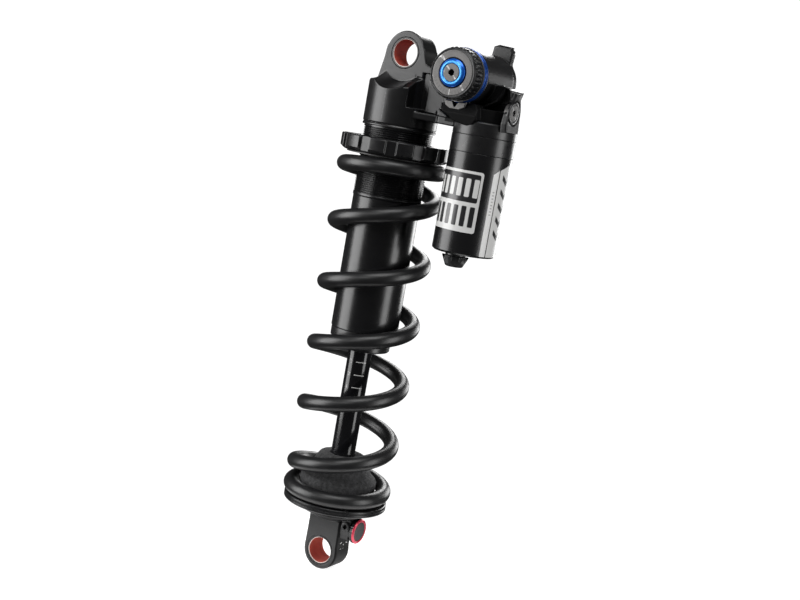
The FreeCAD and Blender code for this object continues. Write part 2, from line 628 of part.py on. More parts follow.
def make_reservoir():
    """Reservoir tube, its collar, the floating piston between gas and oil, and the air valve."""
    x, low, seam = D["reservoir_x"], D["reservoir_bottom"], D["reservoir_seam"]
    outer, bore = D["reservoir_r"], D["reservoir_bore_r"]
    tube = new_body("reservoir_tube")
    turn_profile(tube, [(0, low), (outer - 0.7, low), (outer, low + 0.7), (outer, seam - 0.15),
                        (outer - 0.15, seam), (bore, seam), (bore, low + 4.6), (0, low + 4.6)])
    place(tube, x)
    hole = new_sketch(tube, "XY_Plane", low + 4.6)
    circle(hole, 3.0, D["valve_x"] - x, D["valve_y"])
    cut(tube, hole, 4.6)
    collar = turned("reservoir_collar", [
        (outer - 2.55, seam), (outer - 0.15, seam), (outer, seam + 0.15), (outer, D["reservoir_top"] - 0.5),
        (outer - 0.5, D["reservoir_top"]), (outer - 2.55, D["reservoir_top"])])
    place(collar, x)
    o_ring("reservoir_oring", bore - 0.77, 0, 0.73)
    place(SUBPARTS[-1], x, 0, seam - 3.2)

    piston_low, height = low + 26.0, 12.0
    floating = turned("floating_piston", [
        (0, piston_low + 4.0), (9.6, piston_low + 4.0), (9.6, piston_low), (bore - 0.1, piston_low),
        (bore - 0.1, piston_low + 4.6), (bore - 1.7, piston_low + 4.6), (bore - 1.7, piston_low + 6.6),
        (bore - 0.1, piston_low + 6.6), (bore - 0.1, piston_low + height), (4.0, piston_low + height),
        (4.0, piston_low + 7.0), (0, piston_low + 7.0)])
    place(floating, x)
    o_ring("floating_piston_seal", bore - 0.9, 0, 0.78)
    place(SUBPARTS[-1], x, 0, piston_low + 5.6)
    screw = new_body("floating_piston_screw")
    turn_profile(screw, [(0, 0), (3.0, 0), (3.0, 1.6), (2.6, 2.0), (0, 2.0)])
    hexagon(screw, 1.25, 2.0, 1.2)
    place(screw, x, 0, piston_low + 7.0)

    valve = turned("air_valve_body", [(1.6, low - 5.6), (2.6, low - 5.6), (2.6, low - 1.6), (5.0, low - 1.6),
                                      (5.0, low), (2.95, low), (2.95, low + 4.6), (1.6, low + 4.6)])
    place(valve, D["valve_x"], D["valve_y"])
    core = turned("air_valve_core", [(0, low - 5.2), (0.5, low - 5.2), (0.5, low - 2.4), (1.55, low - 2.0),
                                     (1.55, low + 4.0), (0, low + 4.0)])
    place(core, D["valve_x"], D["valve_y"])
    cap = new_body("valve_cap")
    turn_profile(cap, [(0, low - 7.0), (4.2, low - 7.0), (4.6, low - 6.6), (6.4, low - 1.7), (2.65, low - 1.7),
                       (2.65, low - 6.2), (0, low - 6.2)])
    flat = new_sketch(cap, "XY_Plane", low - 1.7)
    outline(flat, [(4.7, -2.0), (7.0, -2.0), (7.0, 2.0), (4.7, 2.0)])
    repeat_around(cap, cut(cap, flat, 3.6), 6)
    place(cap, D["valve_x"], D["valve_y"])
    place(disc("valve_cap_seal", 2.6, low - 6.2, low - 5.65), D["valve_x"], D["valve_y"])


# ---------------------------------------------------------------- compression barrel and its controls

def at_barrel(part, depth=0.0, facing=FACING_FRONT):
    """Put a piece on the barrel's axis, its local origin at y = -depth."""
    return place(part, D["barrel_x"], -as_size(depth), D["barrel_z"], facing)


def make_compression_controls():
    front = D["barrel_front"]
    blue = at_barrel(ring("barrel_ring_blue", D["barrel_r"] - 0.05, 6.0, front, front + 2.7))
    grey = at_barrel(ring("barrel_ring_grey", D["dial_r"] + 0.3, 6.0, front + 2.7, front + 3.5))
    for collar, top, depth in ((blue, front + 2.7, 1.2), (grey, front + 3.5, 0.8)):
        seat = new_sketch(collar, "XY_Plane", top)
        circle(seat, 0.95, 0, 9.0)
        cut(collar, seat, depth)
    dial = new_body("high_speed_dial")
    back, edge, face = front + 3.55, front + 9.5, front + 11.0
    turn_profile(dial, [(6.2, back), (D["dial_r"], back), (D["dial_r"], edge), (10.9, face), (10.3, face),
                        (10.3, face - 0.6), (6.7, face - 0.6), (6.7, edge - 2.0), (6.2, edge - 2.0)])
    knurl = new_sketch(dial, "XY_Plane", edge)
    outline(knurl, [(11.55, 0), (12.2, -0.55), (12.2, 0.55)])
    repeat_around(dial, cut(dial, knurl, 5.0), 24)
    at_barrel(dial)
    at_barrel(ring("dial_face", 10.25, 6.75, face - 0.6, face - 0.05))
    at_barrel(turned("low_speed_knob", [
        (0, front - 2.0), (2.5, front - 2.0), (2.5, edge - 2.0), (6.4, edge - 2.0), (6.4, face + 0.4),
        (5.4, face + 2.2), (5.2, face + 2.4), (3.9, face + 2.4), (3.7, face + 2.2), (3.7, face + 1.0),
        (1.6, face + 1.0), (1.6, face - 3.0), (0, face - 3.0)]))
    screw = new_body("low_speed_screw")
    turn_profile(screw, [(0, face - 2.9), (1.55, face - 2.9), (1.55, face + 1.05), (3.5, face + 1.05),
                         (3.5, face + 1.6), (0, face + 1.6)])
    hexagon(screw, 1.1, face + 1.6, 1.6)
    at_barrel(screw)
    ball = doc.addObject("Part::Sphere", "dial_detent_ball")
    ball.Label = "dial_detent_ball"
    ball.Radius = 0.9
    SUBPARTS.append(ball)
    place(ball, D["barrel_x"], -(front + 2.5), D["barrel_z"] + 9.0)

    plate = new_body("index_plate")
    crescent = new_sketch(plate, "XY_Plane", front + 2.0)
    outline(crescent, [(-6.8, -11.6), (-5.6, -14.6), (-1.3, -15.6), (0, -14.4), (1.3, -15.6), (5.6, -14.6),
                       (6.8, -11.6), (5.0, -13.2), (-5.0, -13.2)], {2: (1.9, -1), 3: (1.9, -1)})
    extrude(plate, crescent, 1.4)
    at_barrel(plate)


def make_compression_internals():
    """Base valve inside the barrel: piston, shims, spring sleeve, needle and end plug."""
    bore = D["barrel_bore_r"]
    front, back = D["barrel_front"], D["barrel_back"]
    piston = new_body("base_valve_piston")
    turn_profile(piston, [(2.0, -2.0), (bore - 0.02, -2.0), (bore - 0.02, 3.0), (2.0, 3.0)])
    port = new_sketch(piston, "XY_Plane", 3.0)
    circle(port, 1.2, 5.6)
    repeat_around(piston, cut(piston, port, 5.0), 6)
    at_barrel(piston)
    at_barrel(ring("base_valve_shims", 7.4, 2.0, 3.0, 4.2))
    at_barrel(ring("base_valve_sleeve", 6.6, 5.6, 4.2, front - 2.1))
    at_barrel(turned("low_speed_needle", [(0, -4.0), (0.6, -3.0), (1.8, 1.0), (1.8, front - 2.8),
                                          (0, front - 2.8)]))
    at_barrel(turned("barrel_plug", [(2.7, front - 2.0), (8.2, front - 2.0), (8.2, front - 1.9),
                                     (bore - 0.02, front - 1.9), (bore - 0.02, front), (2.7, front)]))
    lever = new_body("threshold_lever")
    turn_profile(lever, [(0, back + 0.05), (11.6, back + 0.05), (12.2, back + 0.6), (12.2, back + 3.6),
                         (11.2, back + 4.8), (0, back + 4.8)])
    paddle = new_sketch(lever, "XY_Plane", back + 0.4)
    outline(paddle, [(-3.6, -8.0), (7.6, -8.0), (8.6, -16.4), (7.4, -18.2), (0.4, -18.4), (-2.0, -17.6)])
    extrude(lever, paddle, 4.0)
    stem = new_sketch(lever, "XY_Plane", back + 0.05)
    circle(stem, 4.0)
    extrude(lever, stem, 8.0, reverse=True)
    place(lever, D["barrel_x"], 0, D["barrel_z"], FACING_BACK)
    plug = ring("lever_bushing", bore - 0.02, 4.05, back - 6.0, back)
    place(plug, D["barrel_x"], 0, D["barrel_z"], FACING_BACK)


def make_bottom_out_adjuster():
    """Small screw on the outer tongue that sets the bottom-out cup's bleed."""
    screw = new_body("bottom_out_adjuster")
    turn_profile(screw, [(0, 0), (3.8, 0), (3.8, 6.9), (3.4, 7.3), (0, 7.3)])
    hexagon(screw, 1.25, 7.3, 1.6)
    place(screw, D["tongue_x"] - 6.8, D["bottom_out_y"], D["bottom_out_z"], FACING_RIGHT)


# ---------------------------------------------------------------- build, check and write

make_damper_head()
make_bushing("upper_bushing", D["eye_to_eye"])
make_bushing("lower_bushing", 0)
make_damper_body()
make_seal_head()
make_bottom_out_cup()
make_preload_collar()
make_coil_spring()
make_shaft()
make_lower_eyelet()
make_rebound_adjusters()
make_spring_retainer()
make_bumper()
make_piston_stack()
make_reservoir()
make_compression_controls()
make_compression_internals()
make_bottom_out_adjuster()

doc.recompute()
for item in doc.Objects:
    if any(state in ("Invalid", "Error") for state in item.State):
        raise RuntimeError("%s (%s) failed: %s" % (item.Name, item.Label, item.State))
for part in SUBPARTS:
    shape = part.Shape
    if shape.isNull() or not shape.isValid() or shape.Volume <= 0:
        raise RuntimeError("%s has no valid shape" % part.Label)

os.makedirs("parts", exist_ok=True)
for part in SUBPARTS:
    part.Shape.exportStep("parts/%s.step" % part.Label)
    print("%-26s %9.1f mm3  %d solid(s)" % (part.Label, part.Shape.Volume, len(part.Shape.Solids)))
print(len(SUBPARTS), "sub-parts")
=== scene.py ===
"""Rear shock: detailed pieces, finishes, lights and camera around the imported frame.

Shapes are worked out in millimetres in the frame's own axes and turned into metres when a mesh is made.
+Z runs from the lower eye to the upper eye, +X is the reservoir's side and the dials face -Y.
"""
import math

import bmesh
import bpy
import numpy as np
from mathutils import Matrix, Vector


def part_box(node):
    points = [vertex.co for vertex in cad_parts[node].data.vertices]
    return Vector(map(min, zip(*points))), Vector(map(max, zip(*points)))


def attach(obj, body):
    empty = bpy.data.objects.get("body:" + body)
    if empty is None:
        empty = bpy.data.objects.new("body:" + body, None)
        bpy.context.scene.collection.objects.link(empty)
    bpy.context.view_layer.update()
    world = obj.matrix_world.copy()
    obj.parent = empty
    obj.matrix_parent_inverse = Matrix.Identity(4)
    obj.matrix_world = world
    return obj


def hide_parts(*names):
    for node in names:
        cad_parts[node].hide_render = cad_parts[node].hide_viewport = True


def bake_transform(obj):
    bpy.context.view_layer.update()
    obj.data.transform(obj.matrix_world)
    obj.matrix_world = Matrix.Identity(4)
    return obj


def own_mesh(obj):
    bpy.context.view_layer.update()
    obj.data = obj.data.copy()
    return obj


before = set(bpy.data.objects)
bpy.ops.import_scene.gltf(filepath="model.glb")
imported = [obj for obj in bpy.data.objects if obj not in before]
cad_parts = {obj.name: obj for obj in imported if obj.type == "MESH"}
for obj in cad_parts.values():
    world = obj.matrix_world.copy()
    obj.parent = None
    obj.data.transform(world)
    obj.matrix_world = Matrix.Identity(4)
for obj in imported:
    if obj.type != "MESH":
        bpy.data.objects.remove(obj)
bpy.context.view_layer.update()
MM = 0.001


# ---------------------------------------------------------------- places read from the frame, in mm

def node_box(node):
    """The lowest and highest corner of a CAD node."""
    low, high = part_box(node)
    return np.array(low) / MM, np.array(high) / MM


def middle(node):
    low, high = node_box(node)
    return (low + high) / 2


def heights(node):
    """The node's lowest and highest z."""
    low, high = node_box(node)
    return low[2], high[2]


EYE_Z = middle("upper_bushing")[2]
HALF_WIDTH = node_box("upper_bushing")[1][1]
BUSHING_R = node_box("upper_bushing")[1][0]
BORE_R = 6.35
BARREL_X, BARREL_Z = middle("barrel_plug")[0], middle("barrel_plug")[2]
RESERVOIR_X = middle("reservoir_tube")[0]
RESERVOIR_R = node_box("reservoir_tube")[1][0] - RESERVOIR_X
RESERVOIR_LOW, SEAM_Z = heights("reservoir_tube")
RESERVOIR_TOP = heights("reservoir_collar")[1]
VALVE_X, VALVE_Y = middle("valve_cap_seal")[0], middle("valve_cap_seal")[1]
VALVE_LOW = heights("valve_cap")[0]
# The head forging's lowest point is the spigot inside the reservoir, this far below its cylinder.
SPIGOT_DROP = 10.5
HEAD_LOW = heights("damper_head")[0] + SPIGOT_DROP
HEAD_R = 18.0
COLLAR_R = 26.8
COLLAR_LOW, COLLAR_HIGH = heights("preload_collar")
TUBE_LOW = heights("damper_body")[0]
THREAD_LOW, THREAD_R, THREAD_ROOT, THREAD_PITCH = 179.5, 16.9, 16.3, 1.0
TUBE_R, CYLINDER_R = 16.6, 14.2
SEAL_LOW, SEAL_HIGH = heights("seal_head")
SHAFT_R = node_box("shaft")[1][0]
RETAINER_LOW, RETAINER_HIGH = heights("spring_retainer")
RETAINER_R = node_box("spring_retainer")[1][0]
BUMPER_LOW = heights("bottom_out_bumper")[0]
BUMPER_R = node_box("bottom_out_bumper")[1][0]
KNOB_Z, KNOB_FACE = middle("rebound_knob")[2], node_box("rebound_knob")[1][0]
# The knob is drawn this much larger in radius than its CAD node.
KNOB_GROWTH = 0.5
KNOB_R = node_box("rebound_knob")[1][1] + KNOB_GROWTH
BARREL_R, BARREL_FRONT, BARREL_BACK = 12.7, 13.0, 14.5
DIAL_R = node_box("high_speed_dial")[1][2] - BARREL_Z
DIAL_BACK, DIAL_FACE = -node_box("high_speed_dial")[1][1], -node_box("high_speed_dial")[0][1]
TONGUE_X = node_box("damper_head")[1][0]
ADJUSTER_Z, ADJUSTER_Y = middle("bottom_out_adjuster")[2], middle("bottom_out_adjuster")[1]


# ---------------------------------------------------------------- finishes

def set_inputs(node, **values):
    """Set a node's inputs; an underscore in a name stands for a space."""
    for name, value in values.items():
        node.inputs[name.replace("_", " ")].default_value = value


def new_material(name):
    """A material with its node tree and its shader."""
    material = bpy.data.materials.new(name)
    material.use_nodes = True
    tree = material.node_tree
    return material, tree, tree.nodes["Principled BSDF"]


def noise(tree, scale, detail=4.0, stretch=None):
    """Noise in the piece's own space, with scale in cells per metre, optionally stretched."""
    coordinates = tree.nodes.new("ShaderNodeTexCoord")
    texture = tree.nodes.new("ShaderNodeTexNoise")
    set_inputs(texture, Scale=scale, Detail=detail)
    source = coordinates.outputs["Object"]
    if stretch:
        mapping = tree.nodes.new("ShaderNodeMapping")
        set_inputs(mapping, Scale=stretch)
        tree.links.new(source, mapping.inputs["Vector"])
        source = mapping.outputs["Vector"]
    tree.links.new(source, texture.inputs["Vector"])
    return texture.outputs["Fac"]


def remap(tree, value, low, high, from_low=0.3, from_high=0.7):
    """Stretch a value's range; noise mostly lies between 0.3 and 0.7."""
    node = tree.nodes.new("ShaderNodeMapRange")
    set_inputs(node, From_Min=from_low, From_Max=from_high, To_Min=low, To_Max=high)
    tree.links.new(value, node.inputs["Value"])
    return node.outputs["Result"]


def mix(tree, factor, first, second):
    """Blend two colours, each a tuple or an output."""
    node = tree.nodes.new("ShaderNodeMix")
    node.data_type = "RGBA"
    for socket, value in ((node.inputs[0], factor), (node.inputs[6], first), (node.inputs[7], second)):
        if hasattr(value, "links"):
            tree.links.new(value, socket)
        elif isinstance(value, tuple):
            socket.default_value = (*value, 1.0)
        else:
            socket.default_value = value
    return node.outputs[2]


def bump(tree, height, distance, strength=1.0, below=None):
    """A normal from a height, over the normal below if there is one."""
    node = tree.nodes.new("ShaderNodeBump")
    set_inputs(node, Distance=distance, Strength=strength)
    tree.links.new(height, node.inputs["Height"])
    if below is not None:
        tree.links.new(below, node.inputs["Normal"])
    return node.outputs["Normal"]


def finish(name, colour, roughness, metallic=0.0, spread=0.1, coat=0.0, coat_roughness=0.15, grain=2500.0,
           grain_depth=0.00001, blotch=60.0, edge_wear_and_highlight=None, specular=0.5, turned=0.0):
    """A metal, paint or plastic finish: cloudy colour, uneven gloss, fine grain and lighter sharp edges.

    spread is how far the gloss and the colour wander, the edge colour shows in spots on sharp edges, partly
    worn edges and partly a painted highlight, and turned is the depth of lathe marks that run round the Z
    axis.
    """
    material, tree, shader = new_material(name)
    clouds = noise(tree, blotch, 3.0)
    dark = tuple(c * (1 - spread) for c in colour)
    light = tuple(min(1.0, c * (1 + spread)) for c in colour)
    base = mix(tree, remap(tree, clouds, 0.0, 1.0), dark, light)
    # Sharp edges are lightened in spots: partly worn edges, partly a painted highlight on the edges.
    if edge_wear_and_highlight:
        geometry = tree.nodes.new("ShaderNodeNewGeometry")
        edge = remap(tree, geometry.outputs["Pointiness"], 0.0, 0.8, 0.53, 0.62)
        edge_wear_and_highlight_spots = tree.nodes.new("ShaderNodeMath")
        edge_wear_and_highlight_spots.operation = "MULTIPLY"
        tree.links.new(edge, edge_wear_and_highlight_spots.inputs[0])
        tree.links.new(remap(tree, noise(tree, 900.0), 0.0, 1.0), edge_wear_and_highlight_spots.inputs[1])
        base = mix(tree, edge_wear_and_highlight_spots.outputs[0], base, edge_wear_and_highlight)
    tree.links.new(base, shader.inputs["Base Color"])
    gloss = noise(tree, blotch * 6, 5.0)
    tree.links.new(remap(tree, gloss, roughness * (1 - spread), roughness * (1 + spread)),
                   shader.inputs["Roughness"])
    normal = bump(tree, noise(tree, grain, 2.0), grain_depth)
    if turned:
        marks = noise(tree, 1.0, 2.0, stretch=(30.0, 30.0, 9000.0))
        normal = bump(tree, marks, turned, below=normal)
    tree.links.new(normal, shader.inputs["Normal"])
    set_inputs(shader, Metallic=metallic, Specular_IOR_Level=specular, Coat_Weight=coat,
               Coat_Roughness=coat_roughness)
    return material


def foam(name, colour):
    """Open-grained foam: pits of two sizes over a dull, mottled surface."""
    material, tree, shader = new_material(name)
    cells = tree.nodes.new("ShaderNodeTexVoronoi")
    set_inputs(cells, Scale=1100.0)
    coordinates = tree.nodes.new("ShaderNodeTexCoord")
    tree.links.new(coordinates.outputs["Object"], cells.inputs["Vector"])
    mottled = mix(tree, remap(tree, noise(tree, 500.0, 6.0), 0.0, 1.0), tuple(c * 0.45 for c in colour),
                  tuple(c * 1.9 for c in colour))
    tree.links.new(mottled, shader.inputs["Base Color"])
    set_inputs(shader, Roughness=0.85, Sheen_Weight=0.08)
    normal = bump(tree, cells.outputs["Distance"], 0.0003, 0.8)
    normal = bump(tree, noise(tree, 300.0, 6.0), 0.0006, 0.7, below=normal)
    tree.links.new(normal, shader.inputs["Normal"])
    return material


# Lighter colour for the sharp edges of black parts: partly worn edges, partly a painted edge highlight.
GREY_EDGE_WEAR_AND_HIGHLIGHT = (0.10, 0.10, 0.105)
FINISHES = {
    "black_anodised": ((0.007, 0.007, 0.0075), 0.30, dict(spread=0.12, edge_wear_and_highlight=GREY_EDGE_WEAR_AND_HIGHLIGHT)),
    "forging": ((0.007, 0.007, 0.0075), 0.30, dict(spread=0.08, grain=4000.0, grain_depth=0.000005,
                                                   edge_wear_and_highlight=GREY_EDGE_WEAR_AND_HIGHLIGHT)),
    # Darker, duller forging finish: its darker colour is painted shade, under the dial and on the lower
    # eyelet's side.
    "forging_matte_painted_shade": ((0.003, 0.003, 0.0032), 0.50, dict(specular=0.12)),
    "black_tube": ((0.006, 0.006, 0.0065), 0.25, dict(spread=0.08, turned=0.000002)),
    "spring_coat": ((0.008, 0.008, 0.0085), 0.36, dict(grain=1600.0, grain_depth=0.00002,
                                                       blotch=40.0)),
    "shaft_coat": ((0.006, 0.006, 0.007), 0.14, dict(specular=0.45)),
    "bushing_red": ((0.42, 0.075, 0.050), 0.75, dict(spread=0.15, grain=3500.0, grain_depth=0.00003,
                                                     blotch=200.0, specular=0.12)),
    "bushing_rim": ((0.90, 0.80, 0.74), 0.45, dict(spread=0.05)),
    "red_anodised": ((0.62, 0.035, 0.075), 0.30, dict(metallic=0.45, coat=0.3)),
    "blue_anodised": ((0.010, 0.125, 0.62), 0.26, dict(metallic=0.55, coat=0.2)),
    "blue_deep": ((0.008, 0.060, 0.30), 0.28, dict(metallic=0.6, coat=0.2)),
    # Lighter blue for the knob's ring round its screw: a painted highlight.
    "blue_painted_highlight": ((0.06, 0.38, 0.95), 0.22, dict(metallic=0.4, spread=0.06, coat=0.3)),
    "grey_anodised": ((0.10, 0.097, 0.095), 0.38, dict(metallic=0.6, edge_wear_and_highlight=(0.6, 0.6, 0.6))),
    "bare_aluminium": ((0.70, 0.70, 0.72), 0.28, dict(metallic=1.0, spread=0.12, turned=0.000006)),
    "bolt_steel": ((0.08, 0.08, 0.085), 0.35, dict(metallic=0.8, spread=0.2, edge_wear_and_highlight=(0.35, 0.35, 0.35))),
    "valve_brass": ((0.60, 0.45, 0.20), 0.32, dict(metallic=1.0, spread=0.15, turned=0.000006)),
    "seal_rubber": ((0.018, 0.018, 0.018), 0.55, dict(spread=0.15, blotch=300.0)),
    "bearing_liner": ((0.16, 0.12, 0.08), 0.50, dict(spread=0.2, blotch=500.0)),
    "nylon": ((0.03, 0.03, 0.03), 0.48, dict(spread=0.12, blotch=200.0)),
    "black_plastic": ((0.020, 0.020, 0.021), 0.44, dict(spread=0.15, grain=3000.0, grain_depth=0.00002,
                                                        blotch=150.0)),
    "print_white": ((0.61, 0.61, 0.60), 0.40, dict(spread=0.03, coat=0.3, coat_roughness=0.2)),
    "print_grey": ((0.30, 0.30, 0.30), 0.42, dict(spread=0.05)),
    # Near-black, dull finish inside hex sockets: painted shade in the recess.
    "socket_painted_shade": ((0.002, 0.002, 0.002), 0.70, dict(specular=0.1)),
    "print_black": ((0.014, 0.014, 0.015), 0.32, dict(spread=0.05, coat=0.3)),
    }
MATERIALS = {name: finish(name, colour, roughness, **options)
             for name, (colour, roughness, options) in FINISHES.items()}
MATERIALS["bumper_foam"] = foam("bumper_foam", (0.027, 0.027, 0.028))


# The record's own finish that each finish made only here belongs to.
RECORD_SLOT = {"forging": "black_anodised", "blue_deep": "blue_anodised", "print_white": "black_anodised",
               "print_black": "grey_anodised"}


# ---------------------------------------------------------------- pieces

def piece(name, vertices, faces, material, body, stands_for=(), slot=None, crease=32.0):
    """A mesh object from points in mm; faces is a list of index lists or an array of quads.

    material is a finish or a list of them, stands_for the CAD node or nodes it hides, and crease the angle
    in degrees above which an edge is sharp.
    """
    mesh = bpy.data.meshes.new(name)
    points = np.asarray(vertices, float) * MM
    if isinstance(faces, np.ndarray):
        mesh.vertices.add(len(points))
        mesh.vertices.foreach_set("co", points.astype(np.float32).ravel())
        mesh.loops.add(faces.size)
        mesh.loops.foreach_set("vertex_index", faces.astype(np.int32).ravel())
        mesh.polygons.add(len(faces))
        mesh.polygons.foreach_set("loop_start", np.arange(0, faces.size, faces.shape[1], dtype=np.int32))
        mesh.polygons.foreach_set("loop_total", np.full(len(faces), faces.shape[1], np.int32))
        mesh.update(calc_edges=True)
    else:
        mesh.from_pydata(points.tolist(), [], [list(map(int, f)) for f in faces])
        work = bmesh.new()
        work.from_mesh(mesh)
        bmesh.ops.recalc_face_normals(work, faces=work.faces)
        work.to_mesh(mesh)
        work.free()
    mesh.validate()
    names = material if isinstance(material, (list, tuple)) else [material]
    for entry in names:
        mesh.materials.append(MATERIALS[entry])
    mesh.polygons.foreach_set("use_smooth", np.ones(len(mesh.polygons), bool))
    mesh.set_sharp_from_angle(angle=math.radians(crease))
    thing = bpy.data.objects.new(name, mesh)
    bpy.context.scene.collection.objects.link(thing)
    if body:
        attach(thing, body)
    if stands_for:
        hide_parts(*([stands_for] if isinstance(stands_for, str) else stands_for))
    slot or RECORD_SLOT.get(names[0], names[0])
    return thing


def paint(thing, number, chosen):
    """Give a piece's finish of this number to the faces for which chosen(centre in mm, normal) is true."""
    for facet in thing.data.polygons:
        if chosen(facet.center / MM, facet.normal):
            facet.material_index = number


def eased(points, radius, steps=3):
    """A closed outline with each corner replaced by a short arc.

    A point's third number is that corner's own radius.
    """
    result = []
    for i, point in enumerate(points):
        corner = np.array(point[:2], float)
        before = np.array(points[i - 1][:2], float) - corner
        after = np.array(points[(i + 1) % len(points)][:2], float) - corner
        lengths = np.hypot(*before), np.hypot(*after)
        size = point[2] if len(point) > 2 else radius
        sharp = size <= 0 or min(lengths) < 1e-6 or corner[0] < 1e-6
        if not sharp:
            before, after = before / lengths[0], after / lengths[1]
            cosine = float(np.clip(before @ after, -1, 1))
        if sharp or cosine < -0.999:
            result.append(tuple(corner))
            continue
        reach = min(size / math.tan(math.acos(cosine) / 2), 0.45 * min(lengths))
        start, end = corner + before * reach, corner + after * reach
        for k in range(steps + 1):
            t = k / steps
            result.append(tuple((1 - t) ** 2 * start + 2 * t * (1 - t) * corner + t ** 2 * end))
    return result


def held(rows, gap=0.2):
    """Add a point near each end of a long straight run, so that rounded corners don't shade along it."""
    result = []
    for start, end in zip(rows, rows[1:] + rows[:1]):
        result.append(start)
        run = np.array(end) - np.array(start)
        length = float(np.hypot(*run))
        if length > 6 * gap and start[0] > gap:
            result.append(tuple(np.array(start) + run * gap / length))
        if length > 6 * gap and end[0] > gap:
            result.append(tuple(np.array(end) - run * gap / length))
    return result


def placed(points, origin=(0, 0, 0), facing="up"):
    """Turn local points so that their +Z faces the named way, then move them to origin."""
    x, y, z = np.asarray(points, float).T
    turned = {"up": (x, y, z), "front": (x, -z, y), "back": (x, z, -y), "right": (z, y, -x)}[facing]
    return np.stack(turned, axis=1) + np.array(origin, float)


def lathe(name, outline, material, body, origin=(0, 0, 0), facing="up", count=128, ease=0.25, shape=None,
          **options):
    """Turn a closed outline of (radius, height) points about local Z.

    shape(radius, height, angles) may give other radii. An outline may start and end on the axis.
    """
    rows = eased(outline, ease) if ease else [tuple(p[:2]) for p in outline]
    rows = held(rows)
    angles = np.arange(count) * 2 * math.pi / count
    points, rings = [], []
    for radius, height in rows:
        if radius < 1e-6:
            rings.append([len(points)])
            points.append((0.0, 0.0, height))
            continue
        radii = np.full(count, radius)
        if shape:
            radii = shape(radius, height, angles)
        rings.append(list(range(len(points), len(points) + count)))
        points += list(zip(radii * np.cos(angles), radii * np.sin(angles), np.full(count, height)))
    faces = []
    for low, high in zip(rings, rings[1:] + rings[:1]):
        if len(low) == 1 and len(high) == 1:
            continue
        for j in range(count):
            k = (j + 1) % count
            corners = [low[j % len(low)], low[k % len(low)], high[k % len(high)], high[j % len(high)]]
            faces.append(list(dict.fromkeys(corners)))
    return piece(name, placed(points, origin, facing), faces, material, body, **options)


# ---------------------------------------------------------------- solids from distance functions

def smooth_min(a, b, k):
    """Union of two distances with a blend k wide."""
    h = np.maximum(k - np.abs(a - b), 0.0) / k
    return np.minimum(a, b) - h * h * k / 4


def smooth_max(a, b, k):
    """Intersection of two distances with a blend k wide."""
    return -smooth_min(-a, -b, k)


def chamfer_max(a, b, size, k=0.12):
    """Intersection with a flat chamfer along the edge, itself a little rounded."""
    return smooth_max(smooth_max(a, b, k), (a + b + size) * math.sqrt(0.5), k)


def polygon(u, v, points):
    """Signed distance to a closed polygon in the plane, negative inside."""
    points = np.asarray(points, float)
    best = np.full(u.shape, 1e18)
    sign = np.ones(u.shape)
    for (ax, ay), (bx, by) in zip(points, np.roll(points, 1, axis=0)):
        ex, ey = bx - ax, by - ay
        wx, wy = u - ax, v - ay
        t = np.clip((wx * ex + wy * ey) / (ex * ex + ey * ey), 0, 1)
        best = np.minimum(best, (wx - ex * t) ** 2 + (wy - ey * t) ** 2)
        above, below, turn = v >= ay, v < by, ex * wy > ey * wx
        sign = np.where((above & below & turn) | (~above & ~below & ~turn), -sign, sign)
    return sign * np.sqrt(best)


def slab(value, low, high):
    """Signed distance to the layer between low and high."""
    return np.abs(value - (low + high) / 2) - (high - low) / 2


